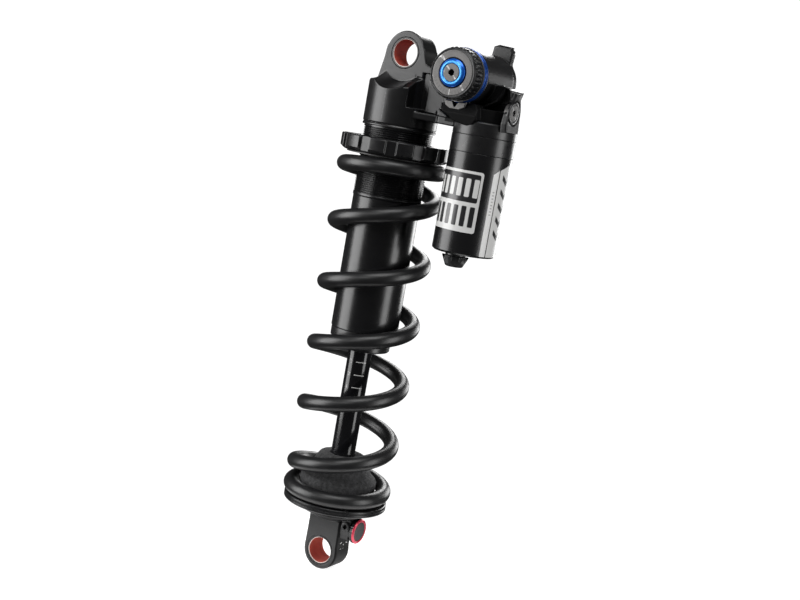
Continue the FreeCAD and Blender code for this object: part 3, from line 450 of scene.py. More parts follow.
def solid(name, field, node, step, material, body):
    """A closed mesh of the surface where field(points) is zero, standing for a node and inside its box.

    The box is cut into cells with sides of step mm. Each cell that the surface passes gets one point, and
    each edge between cells that the surface crosses gets one face.
    """
    low, high = node_box(node)
    low, high = low - 2 * step, high + 2 * step
    # A coarse pass over blocks of cells finds the ones near the surface.
    block = 6
    cells = (np.ceil((high - low) / (step * block)).astype(int)) * block
    axes = [low[a] + step * np.arange(cells[a] + 1) for a in range(3)]
    centres = [low[a] + step * (np.arange(cells[a] // block) + 0.5) * block for a in range(3)]
    grid = np.stack(np.meshgrid(*centres, indexing="ij"), -1).reshape(-1, 3)
    coarse = field(grid).reshape([len(c) for c in centres])
    near = np.abs(coarse) < step * block * 0.95 + 0.6

    def spread(array):
        for axis in range(3):
            array = np.repeat(array, block, axis)
        return array

    def shifted(offsets):
        return tuple(slice(offset, offset + count) for offset, count in zip(offsets, cells))

    values = np.ones(cells + 1, np.float32)
    values[:-1, :-1, :-1] = spread(np.sign(coarse))
    wanted = np.zeros(cells + 1, bool)
    mask = spread(near)
    for offsets in np.ndindex(2, 2, 2):
        wanted[shifted(offsets)] |= mask
    # The field's values at the corners of those cells.
    index, batch = np.argwhere(wanted), 400000
    for start in range(0, len(index), batch):
        part = index[start:start + batch]
        points = np.stack([axes[a][part[:, a]] for a in range(3)], 1)
        values[part[:, 0], part[:, 1], part[:, 2]] = field(points)
    inside = values < 0
    count = np.zeros(cells, np.int8)
    for offsets in np.ndindex(2, 2, 2):
        count += inside[shifted(offsets)]
    # One point in each cell that has corners on both sides: the mean of its edges' crossings.
    active = np.argwhere((count > 0) & (count < 8))
    number = np.full(cells, -1, np.int64)
    number[tuple(active.T)] = np.arange(len(active))
    total, hits = np.zeros((len(active), 3)), np.zeros(len(active))
    for axis in range(3):
        unit = np.eye(3, dtype=int)[axis]
        others = [a for a in range(3) if a != axis]
        for offsets in np.ndindex(2, 2):
            corner = active.copy()
            corner[:, others[0]] += offsets[0]
            corner[:, others[1]] += offsets[1]
            a, b = values[tuple(corner.T)], values[tuple((corner + unit).T)]
            crossing = (a < 0) != (b < 0)
            share = np.where(crossing, a / np.where(crossing, a - b, 1), 0)
            total += np.where(crossing[:, None], corner + unit * share[:, None], 0)
            hits += crossing
    points = low + step * total / hits[:, None]
    # The points are pulled onto the surface along its slope.
    for _ in range(3):
        value = field(points)
        slope = np.stack([field(points + e) - field(points - e) for e in np.eye(3) * 0.02], 1) / 0.04
        move = slope * (value / np.maximum((slope ** 2).sum(1), 0.05))[:, None]
        length = np.sqrt((move ** 2).sum(1))
        points = points - move * np.minimum(1, 0.5 * step / np.maximum(length, 1e-9))[:, None]
    # One face across each cell edge that the surface crosses.
    quads = []
    for axis in range(3):
        b_axis, c_axis = (axis + 1) % 3, (axis + 2) % 3
        first, second = (
            inside[tuple(slice(near_far, cells[a] + near_far) if a == axis else slice(1, cells[a])
                         for a in range(3))]
            for near_far in (0, 1))
        for forward in (True, False):
            edges = np.argwhere((first & ~second) if forward else (~first & second))
            for a in (b_axis, c_axis):
                edges[:, a] += 1
            around = []
            for db, dc in ((-1, -1), (0, -1), (0, 0), (-1, 0)):
                cell = edges.copy()
                cell[:, b_axis] += db
                cell[:, c_axis] += dc
                around.append(number[tuple(cell.T)])
            ring = np.stack(around if forward else around[::-1], 1)
            quads.append(ring)
    return piece(name, points, np.concatenate(quads), material, body, stands_for=node)


# ---------------------------------------------------------------- the upper head

def scoop_floor(depth):
    """How far a scoop's floor has moved out from its edge on the eyelet's face, at this depth."""
    return 4.6 * np.clip((depth - HALF_WIDTH) / (HEAD_R - HALF_WIDTH), 0, 1)


def head_cylinder(x, y, z):
    """The cylinder round the damper tube, scooped out round the eyelet."""
    depth, radius, from_eye = np.abs(y), np.hypot(x, y), np.hypot(x, z - EYE_Z)
    top, eye_scoop_r, left_scoop_r, wall_x = 27.0, 13.4, 11.2, 15.2
    relief = 0.4 * np.exp(-((z - HEAD_LOW - 1.4) / 0.4) ** 2)
    body = chamfer_max(radius - HEAD_R + relief, slab(z, HEAD_LOW, HEAD_LOW + top), 0.3)
    eye_scoop = smooth_max(HALF_WIDTH - depth, from_eye - eye_scoop_r - scoop_floor(depth), 0.15)
    left_scoop = np.hypot(x + 18.0, z - 247.0) - left_scoop_r - scoop_floor(depth)
    right_floor = 239.2 - 0.17 * (x - 8.2) - 1.5 * scoop_floor(depth)
    right_scoop = np.maximum(7.9 - x, (right_floor - z) * 0.9)
    beside = np.maximum(np.maximum(wall_x - x, HALF_WIDTH - 0.6 - depth), 223.4 - z)
    for scoop in (eye_scoop, left_scoop, right_scoop, beside):
        body = chamfer_max(body, -scoop, 0.2, 0.1)
    return body


def bridge_parts(x, y, z):
    """The eyelet's plate, the panel beside the pocket and the bottom flange, each with its blend."""
    face = np.abs(y) - HALF_WIDTH
    plate = polygon(x, z, [(-13.4, 236.0), (7.5, 233.0), (9.2, 239.6), (13.0, 239.4), (17.0, 238.8),
                           (24.6, 237.4), (24.6, 221.2), (36.6, 221.2), (36.6, 243.3), (16.4, 244.7),
                           (12.6, 246.2), (10.2, 252.3), (-10.2, 252.5)])
    plate = smooth_min(plate, np.hypot(x, z - EYE_Z) - 10.5, 1.5)
    plate = chamfer_max(plate, face, 0.4)
    panel = polygon(x, z, [(9.0, 221.2), (25.0, 221.2), (25.0, 240.0), (9.0, 240.0)])
    panel = chamfer_max(panel, face + 0.5, 0.15)
    flange = polygon(x, z, [(4.0, 220.4), (36.6, 219.6), (36.6, 223.4), (4.0, 223.6)])
    flange = chamfer_max(flange, (face - 2.9 - 0.28 * np.clip(24.0 - x, 0, 10)) * 0.95, 0.4)
    return [(plate, 0.2), (panel, 0.15), (flange, 0.7)]


def reservoir_head_parts(x, y, z):
    """What stands over the reservoir, from its cap to the barrel, each part with its blend."""
    depth, from_barrel = np.abs(y), np.hypot(x - BARREL_X, z - BARREL_Z)
    cap = polygon(x, z, [(33.6, 229.6), (59.0, 229.6), (59.0, 240.3), (56.4, 241.3), (41.6, 242.1),
                         (33.6, 235.3)])
    cap = chamfer_max(cap, (depth - 8.0 - 0.5 * np.minimum(z - 241.3, 0)) * 0.9, 0.3)
    under_barrel = smooth_max(from_barrel - BARREL_R - 9.6, 4.4 - depth, 0.4)
    under_barrel = np.maximum(under_barrel, np.maximum(x - 57.2, 231.6 - z))
    cap = smooth_max(cap, -under_barrel, 0.25)
    ridge = polygon(x, z, [(46.6, 230.2), (53.7, 234.2), (55.7, 238.3), (56.9, 241.3), (56.1, 241.5),
                           (54.9, 238.7), (53.0, 234.9), (46.4, 231.0)])
    ridge = smooth_max(ridge, slab(y, -8.4, -2.0), 0.2)

    gusset = polygon(x, z, [(24.2, 219.9), (45.0, 219.9), (38.0, 221.4), (31.4, 223.2), (24.2, 226.9)])
    gusset = chamfer_max(gusset, depth - HALF_WIDTH - 2.4, 0.35)

    block = polygon(x, z, [(29.6, 229.2), (30.6, 226.0), (33.8, 224.4), (36.2, 222.4), (43.8, 220.9),
                           (46.9, 222.2), (48.8, 224.6), (48.2, 229.0), (46.0, 231.5), (33.6, 231.0)])
    lean = 0.5 * np.maximum(z - 226.0, 0) - 0.35 * np.minimum(z - 226.0, 0)
    block = chamfer_max(block, np.maximum((-y - 17.0 + lean) * 0.9, y + 5.5), 0.3)
    steps = polygon(x, z, [(39.6, 229.2), (46.4, 230.2), (46.8, 228.2), (42.0, 227.2)])
    block = smooth_min(block, smooth_max(steps, slab(y, -13.6, -8.0), 0.3), 0.3)

    tongue = polygon(y, z, [(-10.0, 220.9), (2.6, 220.9), (3.2, 222.0), (2.0, 231.8), (-0.7, 239.2),
                            (-3.4, 239.2), (-5.7, 234.4), (-9.8, 229.6), (-10.8, 224.8)])
    tongue = chamfer_max(tongue, slab(x, TONGUE_X - 3.5, TONGUE_X), 0.5)
    ring = np.hypot(y - ADJUSTER_Y, z - ADJUSTER_Z)
    boss = chamfer_max(ring - 5.0, slab(x, TONGUE_X - 1.5, TONGUE_X), 0.3)
    groove = chamfer_max(np.abs(ring - 5.6) - 0.35, TONGUE_X - 0.5 - x, 0.1)
    tongue = smooth_min(smooth_max(tongue, -groove, 0.2), boss, 0.3)

    barrel = chamfer_max(from_barrel - BARREL_R, slab(y, -BARREL_FRONT, BARREL_BACK), 0.5)
    return [(cap, 0.5), (ridge, 0.3), (gusset, 0.4), (block, 0.3), (tongue, 0.4), (barrel, 0.9)]


def join_reservoir(body, from_reservoir, z):
    """Clear room for the reservoir's collar, then add the neck and the grooved plug that hold it."""
    neck_r, plug_r = RESERVOIR_R - 2.6, RESERVOIR_R - 1.77
    cleared = np.maximum(from_reservoir - RESERVOIR_R - 0.06, slab(z, 214.0, RESERVOIR_TOP + 0.15))
    neck = np.maximum(from_reservoir - neck_r, slab(z, SEAM_Z, 229.9))
    plug = np.maximum(from_reservoir - plug_r, slab(z, SEAM_Z - 6.0, SEAM_Z))
    seal_groove = np.maximum(plug_r - 1.5 - from_reservoir, slab(z, SEAM_Z - 4.0, SEAM_Z - 2.4))
    plug = np.maximum(plug, -seal_groove)
    return np.minimum(smooth_min(smooth_max(body, -cleared, 0.2), neck, 0.5), plug)


def head_cuts(x, y, z):
    """Bores, pocket, parting grooves and notch, each with its blend."""
    radius, from_reservoir = np.hypot(x, y), np.hypot(x - RESERVOIR_X, y)
    ring = np.hypot(y - ADJUSTER_Y, z - ADJUSTER_Z)
    cuts = [(np.hypot(x, z - EYE_Z) - BUSHING_R, 0.2),
            (np.maximum(radius - CYLINDER_R - 1.2, slab(z, HEAD_LOW - 5, HEAD_LOW + 8.0)), 0.2),
            (np.maximum(radius - 12.0, slab(z, HEAD_LOW, HEAD_LOW + 15.0)), 0.2),
            (np.maximum(np.hypot(x - BARREL_X, z - BARREL_Z) - 9.0,
                        slab(y, -BARREL_FRONT - 5, BARREL_BACK + 5)), 0.2),
            (np.maximum(from_reservoir - 9.0, slab(z, SEAM_Z - 9.0, SEAM_Z + 17.0)), 0.2),
            (np.maximum(ring - 3.9, TONGUE_X - 3.6 - x), 0.2)]
    pocket = np.maximum(slab(x, 10.2, 15.5), slab(z, 224.9, 242.0))
    pocket = smooth_max(pocket, np.maximum(y + 5.0, 13.4 - radius), 0.4)
    grooves = [np.maximum(slab(x, 22.0, 22.45), slab(z, 223.7, 225.6)),
               np.maximum(slab(x, 15.0, 22.4), slab(z, 223.7, 224.15)),
               np.maximum(slab(x, 24.9, 25.25), slab(z, 219.0, 223.8))]
    line = np.maximum(np.minimum.reduce(grooves), slab(np.abs(y), HALF_WIDTH - 1.2, HALF_WIDTH + 4.0))
    notch = np.maximum(polygon(x, z, [(24.3, 227.3), (28.4, 225.4), (28.4, 232.2), (26.4, 232.2),
                                      (26.4, 229.8), (24.3, 229.8)]), slab(y, -20.0, -5.2))
    return cuts + [(pocket, 0.5), (line, 0.15), (notch, 0.3)]


def head_field(points):
    """The forging: eyelet, head cylinder, bridge, compression barrel and reservoir head."""
    x, y, z = points.T
    body = head_cylinder(x, y, z)
    for part, blend in bridge_parts(x, y, z) + reservoir_head_parts(x, y, z):
        body = smooth_min(body, part, blend)
    body = join_reservoir(body, np.hypot(x - RESERVOIR_X, y), z)
    for cut, blend in head_cuts(x, y, z):
        body = smooth_max(body, -cut, blend)
    return body


def make_head():
    head = solid("head_forging", head_field, "damper_head", 0.3, ["forging", "forging_matte_painted_shade"], "damper")

    # Faces of the block under the dial get the darker, duller forging finish: the darker colour is painted
    # shade from the dial and barrel above.
    def in_painted_shade_under_dial(centre, normal):
        x, y, z = centre
        under_dial = -19.0 < y < -4.0 and 29.0 < x < 58.5 and 221.4 < z < 241.5
        return under_dial and math.hypot(x - BARREL_X, z - BARREL_Z) > BARREL_R + 0.7

    paint(head, 1, in_painted_shade_under_dial)


# ---------------------------------------------------------------- bushings

def make_bushing(name, node, height, body):
    """A glide bushing: red liner, with a pale chamfered rim at each end."""
    rim = 0.34
    outline = [(BORE_R, -HALF_WIDTH + rim, 0), (BORE_R + rim * 0.6, -HALF_WIDTH, 0.05),
               (BUSHING_R - 0.25, -HALF_WIDTH, 0.1), (BUSHING_R, -HALF_WIDTH + 0.3, 0.1),
               (BUSHING_R, HALF_WIDTH - 0.3, 0.1), (BUSHING_R - 0.25, HALF_WIDTH, 0.1),
               (BORE_R + rim * 0.6, HALF_WIDTH, 0.05), (BORE_R, HALF_WIDTH - rim, 0)]
    thing = lathe(name, outline, ["bushing_red", "bushing_rim", "black_anodised"], body, (0, 0, height),
                  "front", count=96, stands_for=node)

    def on_end(centre, normal):
        return abs(centre.y) > HALF_WIDTH - rim - 0.01 and abs(normal.y) > 0.3

    def on_rim(centre, normal):
        return on_end(centre, normal) and math.hypot(centre.x, centre.z - height) < BORE_R + 0.45

    paint(thing, 2, on_end)
    paint(thing, 1, on_rim)


# ---------------------------------------------------------------- damper body and seal head

def make_damper_body():
    """The tube, with a helical preload thread on its upper part."""
    crest = 0.9 * THREAD_PITCH
    start, stop = THREAD_LOW + 1.2, HEAD_LOW - 0.6

    def thread(radius, height, angles):
        if radius < TUBE_R - 0.5:
            return np.full(len(angles), radius)
        turn = (height / THREAD_PITCH - angles / (2 * math.pi)) % 1.0
        tooth = np.clip(np.abs(turn - 0.5) * 3.2 - 0.35, 0, 1)
        fade = np.clip((height - start) / crest, 0, 1) * np.clip((stop - height) / 0.5, 0, 1)
        return radius - (THREAD_R - THREAD_ROOT) * tooth * fade

    count = int((stop - start) * 9)
    outline = [(CYLINDER_R, TUBE_LOW, 0), (TUBE_R - 0.3, TUBE_LOW, 0), (TUBE_R, TUBE_LOW + 0.3, 0),
               (TUBE_R, TUBE_LOW + 30.0, 0), (TUBE_R, THREAD_LOW, 0), (THREAD_R, THREAD_LOW + 0.3, 0)]
    outline += [(THREAD_R, start + (stop - start) * i / count, 0) for i in range(count + 1)]
    spigot = CYLINDER_R + 1.2
    outline += [(THREAD_R, HEAD_LOW, 0), (spigot, HEAD_LOW, 0), (spigot, HEAD_LOW + 8.0, 0),
                (CYLINDER_R, HEAD_LOW + 8.0, 0)]
    lathe("damper_tube", outline, "black_tube", "damper", count=144, ease=0, shape=thread,
          stands_for="damper_body", crease=50.0)


def make_seal_head():
    plug = CYLINDER_R - 0.02
    outline = [(9.0, SEAL_LOW, 0.2), (13.4, SEAL_LOW), (14.0, SEAL_LOW + 0.6), (14.0, SEAL_LOW + 4.2, 0.5),
               (15.9, SEAL_LOW + 4.6), (16.3, SEAL_LOW + 5.0), (16.3, TUBE_LOW - 0.05, 0.25),
               (plug, TUBE_LOW - 0.05, 0), (plug, SEAL_LOW + 10.6, 0), (plug - 1.8, SEAL_LOW + 10.6, 0),
               (plug - 1.8, SEAL_LOW + 12.4, 0), (plug, SEAL_LOW + 12.4, 0), (plug, SEAL_HIGH, 0.4),
               (7.4, SEAL_HIGH, 0), (7.4, SEAL_LOW + 7.6, 0), (7.2, SEAL_LOW + 7.6, 0),
               (7.2, SEAL_LOW + 6.6, 0), (9.0, SEAL_LOW + 6.6, 0), (9.0, SEAL_LOW + 3.4, 0),
               (7.2, SEAL_LOW + 3.4, 0), (7.2, SEAL_LOW + 2.8, 0), (9.0, SEAL_LOW + 2.8, 0)]
    lathe("seal_head_cap", outline, "black_anodised", "damper", ease=0.25, stands_for="seal_head")


# ---------------------------------------------------------------- preload collar and spring

def collar_field(points):
    """Castellated nut with notches round its rim."""
    x, y, z = points.T
    radius, angle = np.hypot(x, y), np.arctan2(y, x)
    pitch = math.pi / 6
    start = math.radians(-4.5)
    local = (angle - start + pitch / 2) % pitch - pitch / 2
    across = radius * np.sin(np.abs(local))
    taper = 0.62 * np.clip(COLLAR_LOW + 1.8 - z, 0, 9) * 2.0
    outer = radius - COLLAR_R + taper
    body = chamfer_max(outer, slab(z, COLLAR_LOW, COLLAR_HIGH), 0.45)
    notch = smooth_max(across - 2.35 - 0.3 * (radius - 25.0), COLLAR_R - 1.5 - radius * np.cos(local), 0.4)
    body = smooth_max(body, -notch, 0.45)
    bore = radius - THREAD_R - 0.06
    return chamfer_max(body, -bore, 0.5)


def make_collar():
    solid("preload_nut", collar_field, "preload_collar", 0.3, "black_anodised", "preload_collar")
    inner = THREAD_R + 0.06
    outline = [(inner, COLLAR_LOW - 0.7), (23.2, COLLAR_LOW - 0.7), (23.2, COLLAR_LOW), (inner, COLLAR_LOW)]
    lathe("thrust_washer", outline, "nylon", "preload_washer", ease=0.15, stands_for="preload_washer")


# The wire's centre: its heights on the two end turns, its radius, and its rise per free turn.
SPRING_LOW, SPRING_HIGH, SPRING_R, SPRING_PITCH = 32.0, 196.0, 23.35, 30.8
WIRE_R = 3.75
# Degrees along the coil: where the wire starts and stops, and over how much the end turns open and close.
SPRING_FIRST, SPRING_LAST, RAMP_IN, RAMP_OUT = -100.0, 2360.0, 360.0, 240.0
# The azimuth at which the first end turn starts to rise.
SPRING_TURNED = -451.0


def spring_height(angle):
    """Height of the wire's centre: flat end turns that ramp into the free pitch."""
    slope = SPRING_PITCH / 360.0
    free = (SPRING_HIGH - SPRING_LOW) / slope - (RAMP_IN + RAMP_OUT) / 2
    if angle <= 0:
        return SPRING_LOW
    if angle < RAMP_IN:
        return SPRING_LOW + slope * angle ** 2 / (2 * RAMP_IN)
    if angle < RAMP_IN + free:
        return SPRING_LOW + slope * (angle - RAMP_IN / 2)
    rest = RAMP_IN + free + RAMP_OUT - angle
    return SPRING_HIGH - slope * max(rest, 0.0) ** 2 / (2 * RAMP_OUT)


def make_spring():
    """Round wire swept along the coil, with the ends of the wire cut square and chamfered."""
    step, sides = 5.0, 28
    count = int(round((SPRING_LAST - SPRING_FIRST) / step))
    angles = [SPRING_FIRST + step * i for i in range(count + 1)]

    def centre(angle):
        turn = math.radians(angle + SPRING_TURNED)
        return np.array([SPRING_R * math.cos(turn), SPRING_R * math.sin(turn), spring_height(angle)])

    rings = [(angles[0], 0.02), (angles[0], WIRE_R - 0.5)]
    rings += [(a, WIRE_R) for a in angles]
    rings += [(angles[-1], WIRE_R - 0.5), (angles[-1], 0.02)]
    chamfer = 0.5
    points, levels, faces = [], [], []
    for number, (angle, radius) in enumerate(rings):
        here = centre(angle)
        along = centre(angle + 0.5) - centre(angle - 0.5)
        along /= np.linalg.norm(along)
        if number == 2:
            here = here + along * chamfer
        elif number == len(rings) - 3:
            here = here - along * chamfer
        out = np.array([here[0], here[1], 0.0])
        out -= along * (out @ along)
        out /= np.linalg.norm(out)
        side = np.cross(along, out)
        for k in range(sides):
            turn = 2 * math.pi * k / sides
            points.append(here + radius * (math.cos(turn) * out + math.sin(turn) * side))
            levels.append(here[2])
    for i in range(len(rings) - 1):
        for k in range(sides):
            m = (k + 1) % sides
            faces.append([i * sides + k, i * sides + m, (i + 1) * sides + m, (i + 1) * sides + k])
    spring = piece("spring_wire", points, faces, "spring_coat", None, stands_for="coil_spring", crease=60.0)
    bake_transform(spring)
    share = np.clip((SPRING_HIGH - np.array(levels)) / (SPRING_HIGH - SPRING_LOW), 0, 1)


# ---------------------------------------------------------------- marks printed on round surfaces

def on_cylinder(radius, centre_x=0.0, centre_y=0.0):
    """Wrap (azimuth in degrees, height, lift) onto an upright cylinder."""
    def wrap(azimuth, height, lift):
        a = np.radians(azimuth)
        return np.stack([centre_x + (radius + lift) * np.cos(a), centre_y + (radius + lift) * np.sin(a),
                         height + 0 * a], -1)
    return wrap


def film(wrap, azimuths, low, high, lift=0.04):
    """Points and faces of a thin printed film between two heights over a range of azimuths.

    low and high are arrays with one height per azimuth.
    """
    levels = np.linspace(0, 1, 4)
    azimuths = np.asarray(azimuths, float)
    low, high = np.broadcast_to(low, azimuths.shape), np.broadcast_to(high, azimuths.shape)
    columns, rows = len(azimuths), len(levels)
    points = []
    for height in (lift, -0.02):
        for level in levels:
            points.append(wrap(azimuths, low + (high - low) * level, height))
    points = np.concatenate(points)

    def index(layer, row, column):
        return layer * rows * columns + row * columns + column

    faces = []
    for layer in (0, 1):
        for row in range(rows - 1):
            for column in range(columns - 1):
                faces.append([index(layer, row, column), index(layer, row, column + 1),
                              index(layer, row + 1, column + 1), index(layer, row + 1, column)])
    border = [(0, c) for c in range(columns)] + [(r, columns - 1) for r in range(1, rows)]
    border += [(rows - 1, c) for c in range(columns - 2, -1, -1)] + [(r, 0) for r in range(rows - 2, 0, -1)]
    for (r0, c0), (r1, c1) in zip(border, border[1:] + border[:1]):
        faces.append([index(0, r0, c0), index(0, r1, c1), index(1, r1, c1), index(1, r0, c0)])
    return points, faces


def tile(corners):
    """Points and faces of a thin four-sided tile: its four lower corners, then the four above them."""
    sides = [[i, (i + 1) % 4, 4 + (i + 1) % 4, 4 + i] for i in range(4)]
    return corners, [[0, 1, 2, 3], [4, 5, 6, 7]] + sides


def printed(name, shapes, material, body, slot=None):
    """One piece made of several films or tiles."""
    points, faces = [], []
    for shape_points, shape_faces in shapes:
        first = len(points)
        points += [tuple(point) for point in shape_points]
        faces += [[first + corner for corner in face] for face in shape_faces]
    return piece(name, points, faces, material, body, slot=slot, crease=40.0)


def rounded_ends(azimuths, radius, corner, low, high):
    """Heights of a film whose corners are round: the ends draw in by the corner's arc."""
    along = np.radians(azimuths) * radius
    draw = np.zeros(len(along))
    for near in (along - along[0], along[-1] - along):
        inside = np.clip(corner - near, 0, corner)
        draw = np.maximum(draw, corner - np.sqrt(corner ** 2 - inside ** 2))
    return low + draw, high - draw


def fine(start, stop, step=1.5, ends=6):
    """Azimuths from start to stop, closer together near both ends."""
    inner = np.linspace(start, stop, max(3, int(abs(stop - start) / step)))
    first = start + (inner[1] - start) * np.linspace(0, 1, ends) ** 2
    last = stop - (stop - inner[-2]) * np.linspace(0, 1, ends)[::-1] ** 2
    return np.concatenate([first, inner[2:-2], last])


def numeral(name, text, size, place, material, body, slot):
    """A printed numeral: place maps (across, up, lift) in mm to the surface."""
    curve = bpy.data.curves.new(name, "FONT")
    curve.body = text
    curve.size = size
    curve.align_x = "CENTER"
    curve.align_y = "CENTER"
    curve.extrude = 0.03
    holder = bpy.data.objects.new(name, curve)
    mesh = bpy.data.meshes.new_from_object(holder)
    bpy.data.objects.remove(holder)
    flat = np.array([v.co for v in mesh.vertices], float)
    faces = [list(p.vertices) for p in mesh.polygons]
    bpy.data.meshes.remove(mesh)
    return piece(name, place(*flat.T), faces, material, body, slot=slot, crease=30.0)


# ---------------------------------------------------------------- shaft assembly

def make_shaft():
    """Polished shaft with three travel marks and their numbers."""
    top, bore = node_box("shaft")[1][2], 3.3
    outline = [(bore, 14.0, 0), (SHAFT_R, 14.0, 0), (SHAFT_R, SEAL_HIGH, 0.3), (4.6, SEAL_HIGH, 0),
               (4.6, top, 0.3), (bore, top, 0)]
    lathe("shaft_rod", outline, "shaft_coat", "shaft_assembly", count=96, ease=0.2, stands_for="shaft")
    wrap = on_cylinder(SHAFT_R)
    marks = (98.3, 91.7, 85.3)
    lines = [film(wrap, np.linspace(-72, -22, 20), height - 0.22, height + 0.22) for height in marks]
    printed("travel_lines", lines, "print_white", "shaft_assembly", "shaft_coat")
    for number, height in enumerate(marks):

        def place(across, up, lift, height=height):
            return wrap(-98 + np.degrees(across / SHAFT_R), height + up, 0.02 + lift)
        numeral("travel_number_%d" % number, str(3 - number), 2.6, place, "print_white", "shaft_assembly",
                "shaft_coat")


def lower_eyelet_field(points):
    """The lower forging: eyelet, shoulder under the spring seat and the adjusters' boss."""
    x, y, z = points.T
    depth, radius, from_eye = np.abs(y), np.hypot(x, y), np.hypot(x, z)
    web = polygon(x, z, [(-9.7, 0.0), (9.4, 0.0), (9.1, 17.6), (-9.5, 17.6)])
    web = smooth_min(web, from_eye - 9.7, 0.4)
    web = chamfer_max(web, depth - HALF_WIDTH, 0.7)
    shoulder = polygon(radius, z, [(-9.0, 15.5), (9.4, 17.3), (13.6, 19.9), (16.8, 21.0), (16.9, 22.0),
                                   (11.4, 22.0), (11.4, 24.4), (-9.0, 24.4)])
    body = smooth_min(web, shoulder, 0.6)
    boss = polygon(y, z, [(-5.0, 9.2), (5.0, 9.2), (5.0, 19.6), (-5.0, 19.6)])
    boss = chamfer_max(boss, slab(x, 0.0, 14.6), 0.6)
    collar = np.maximum(np.hypot(y, z - KNOB_Z) - 5.3, slab(x, 5.0, 14.6))
    body = smooth_min(body, smooth_min(boss, collar, 0.4), 0.5)
    cuts = [from_eye - BUSHING_R,
            np.maximum(radius - SHAFT_R, 14.0 - z),
            np.maximum(radius - 2.7, slab(z, 10.0, 15.0)),
            np.maximum(np.hypot(y, z - KNOB_Z) - 2.2, 6.6 - x),
            np.maximum(np.hypot(x - 12.1, z - 16.0) - 1.8, slab(y, -9.0, -2.4)),
            np.maximum(np.hypot(y, z - KNOB_Z + 4.1) - 0.8, 12.1 - x),
            smooth_max(polygon(x, z, [(9.9, 8.0), (13.2, 8.0), (13.2, 11.4), (9.9, 12.6)]),
                       depth - 3.4, 0.4)]
    for bore in cuts:
        body = smooth_max(body, -bore, 0.25)
    return body


def make_lower_eyelet():
    eyelet = solid("lower_forging", lower_eyelet_field, "lower_eyelet", 0.26, ["forging", "forging_matte_painted_shade"],
                   "shaft_assembly")
    # The +X faces round the adjusters' boss get the darker, duller forging finish: painted shade over the
    # boss.
    paint(eyelet, 1, lambda centre, normal: normal.x > 0.5 and centre.x > 4.0 and centre.z < 21.0)
    side = 9.4
    marks = [(-2.6, 5.9, 1.5, 0.35, 0.5), (2.6, 5.3, 1.5, 0.35, -0.5), (0.0, 4.6, 0.5, 0.5, 0.0),
             (-2.2, 2.6, 1.2, 0.3, 0.0), (0.2, 2.5, 0.7, 0.3, 0.0), (2.0, 2.4, 0.9, 0.3, 0.0)]
    tiles = []
    for y, z, length, height, lean in marks:
        surface = side + 0.02
        corners = []
        for depth in (surface - 0.1, surface + 0.04):
            for a, b in ((-1, -1), (1, -1), (1, 1), (-1, 1)):
                corners.append((depth, y + a * length / 2, z + b * height / 2 + a * lean * 0.5))
        tiles.append(tile(corners))
    printed("side_marks", tiles, "print_white", "shaft_assembly")


def make_rebound_adjusters():
    back = 8.4
    grip = KNOB_FACE - back

    def ribbed(radius, height, angles):
        if radius < KNOB_R - 0.3 or height > grip - 0.6:
            return np.full(len(angles), radius)
        return radius - 0.16 * (0.5 + 0.5 * np.cos(angles * 28))

    outline = [(0, 0), (2.15, 0), (2.15, 6.3, 0.3), (KNOB_R - 0.5, 6.3), (KNOB_R, 6.8),
               (KNOB_R, grip - 0.5), (KNOB_R - 0.5, grip), (5.0, grip, 0.15), (4.8, grip - 0.6, 0.1),
               (0, grip - 0.6)]
    dial = lathe("rebound_dial", outline, ["red_anodised", "black_anodised"], "rebound_knob",
                 (back, 0, KNOB_Z), "right", count=168, ease=0.2, shape=ribbed, stands_for="rebound_knob")
    paint(dial, 1, lambda centre, normal: centre.x < KNOB_FACE - 1.1)
    outline = [(0, 0), (4.75, 0, 0), (4.75, 0.35, 0.1), (4.5, 0.5, 0.15), (1.6, 0.42, 0.3), (0, 0.42)]
    lathe("rebound_dial_cap", outline, "black_plastic", "rebound_knob", (KNOB_FACE - 0.6, 0, KNOB_Z),
          "right", count=72, ease=0.1, stands_for="rebound_knob_cap")
    # The rebound screw gets the black finish, darker than the other screws' grey: painted shade over the
    # boss.
    hex_screw("rebound_hex", 2.3, 1.3, 1.0, 1.1, (12.1, -5.05, 16.0), "front", "black_anodised",
              "high_speed_rebound", "high_speed_rebound_screw", stem=(1.75, 2.5))


def hex_screw(name, radius, height, half_flat, depth, origin, facing, material, body, node, stem=None,
              ease=0.3):
    """A round-headed screw with a hexagonal socket; origin is the middle of the head's underside.

    stem is the shank's radius and length.
    """

    def six_sided(r, h, angles):
        if r > half_flat * 1.02 or r < 1e-6:
            return np.full(len(angles), r)
        return r / np.cos((angles + math.pi / 6) % (math.pi / 3) - math.pi / 6)

    outline = []
    if stem:
        outline += [(0, -stem[1]), (stem[0], -stem[1], 0.2), (stem[0], 0, 0)]
    else:
        outline += [(0, 0)]
    outline += [(radius, 0, 0.1), (radius, height, ease), (half_flat * 1.24, height, 0.05),
                (half_flat, height - 0.2, 0), (half_flat, height - depth, 0.05), (0, height - depth)]
    screw = lathe(name, outline, [material, "socket_painted_shade"], body, origin, facing, count=72, ease=0.1,
                  shape=six_sided, stands_for=node)
    axis = np.array({"up": (0, 0, 1), "front": (0, -1, 0), "right": (1, 0, 0)}[facing])

    def in_socket(centre, normal):
        offset = np.array(centre) - np.array(origin)
        along = float(offset @ axis)
        across = float(np.linalg.norm(offset - along * axis))
        return height - depth - 0.1 < along < height - 0.25 and across < half_flat * 1.3

    # The socket's walls and floor get the near-black finish: painted shade in the recess.
    paint(screw, 1, in_socket)


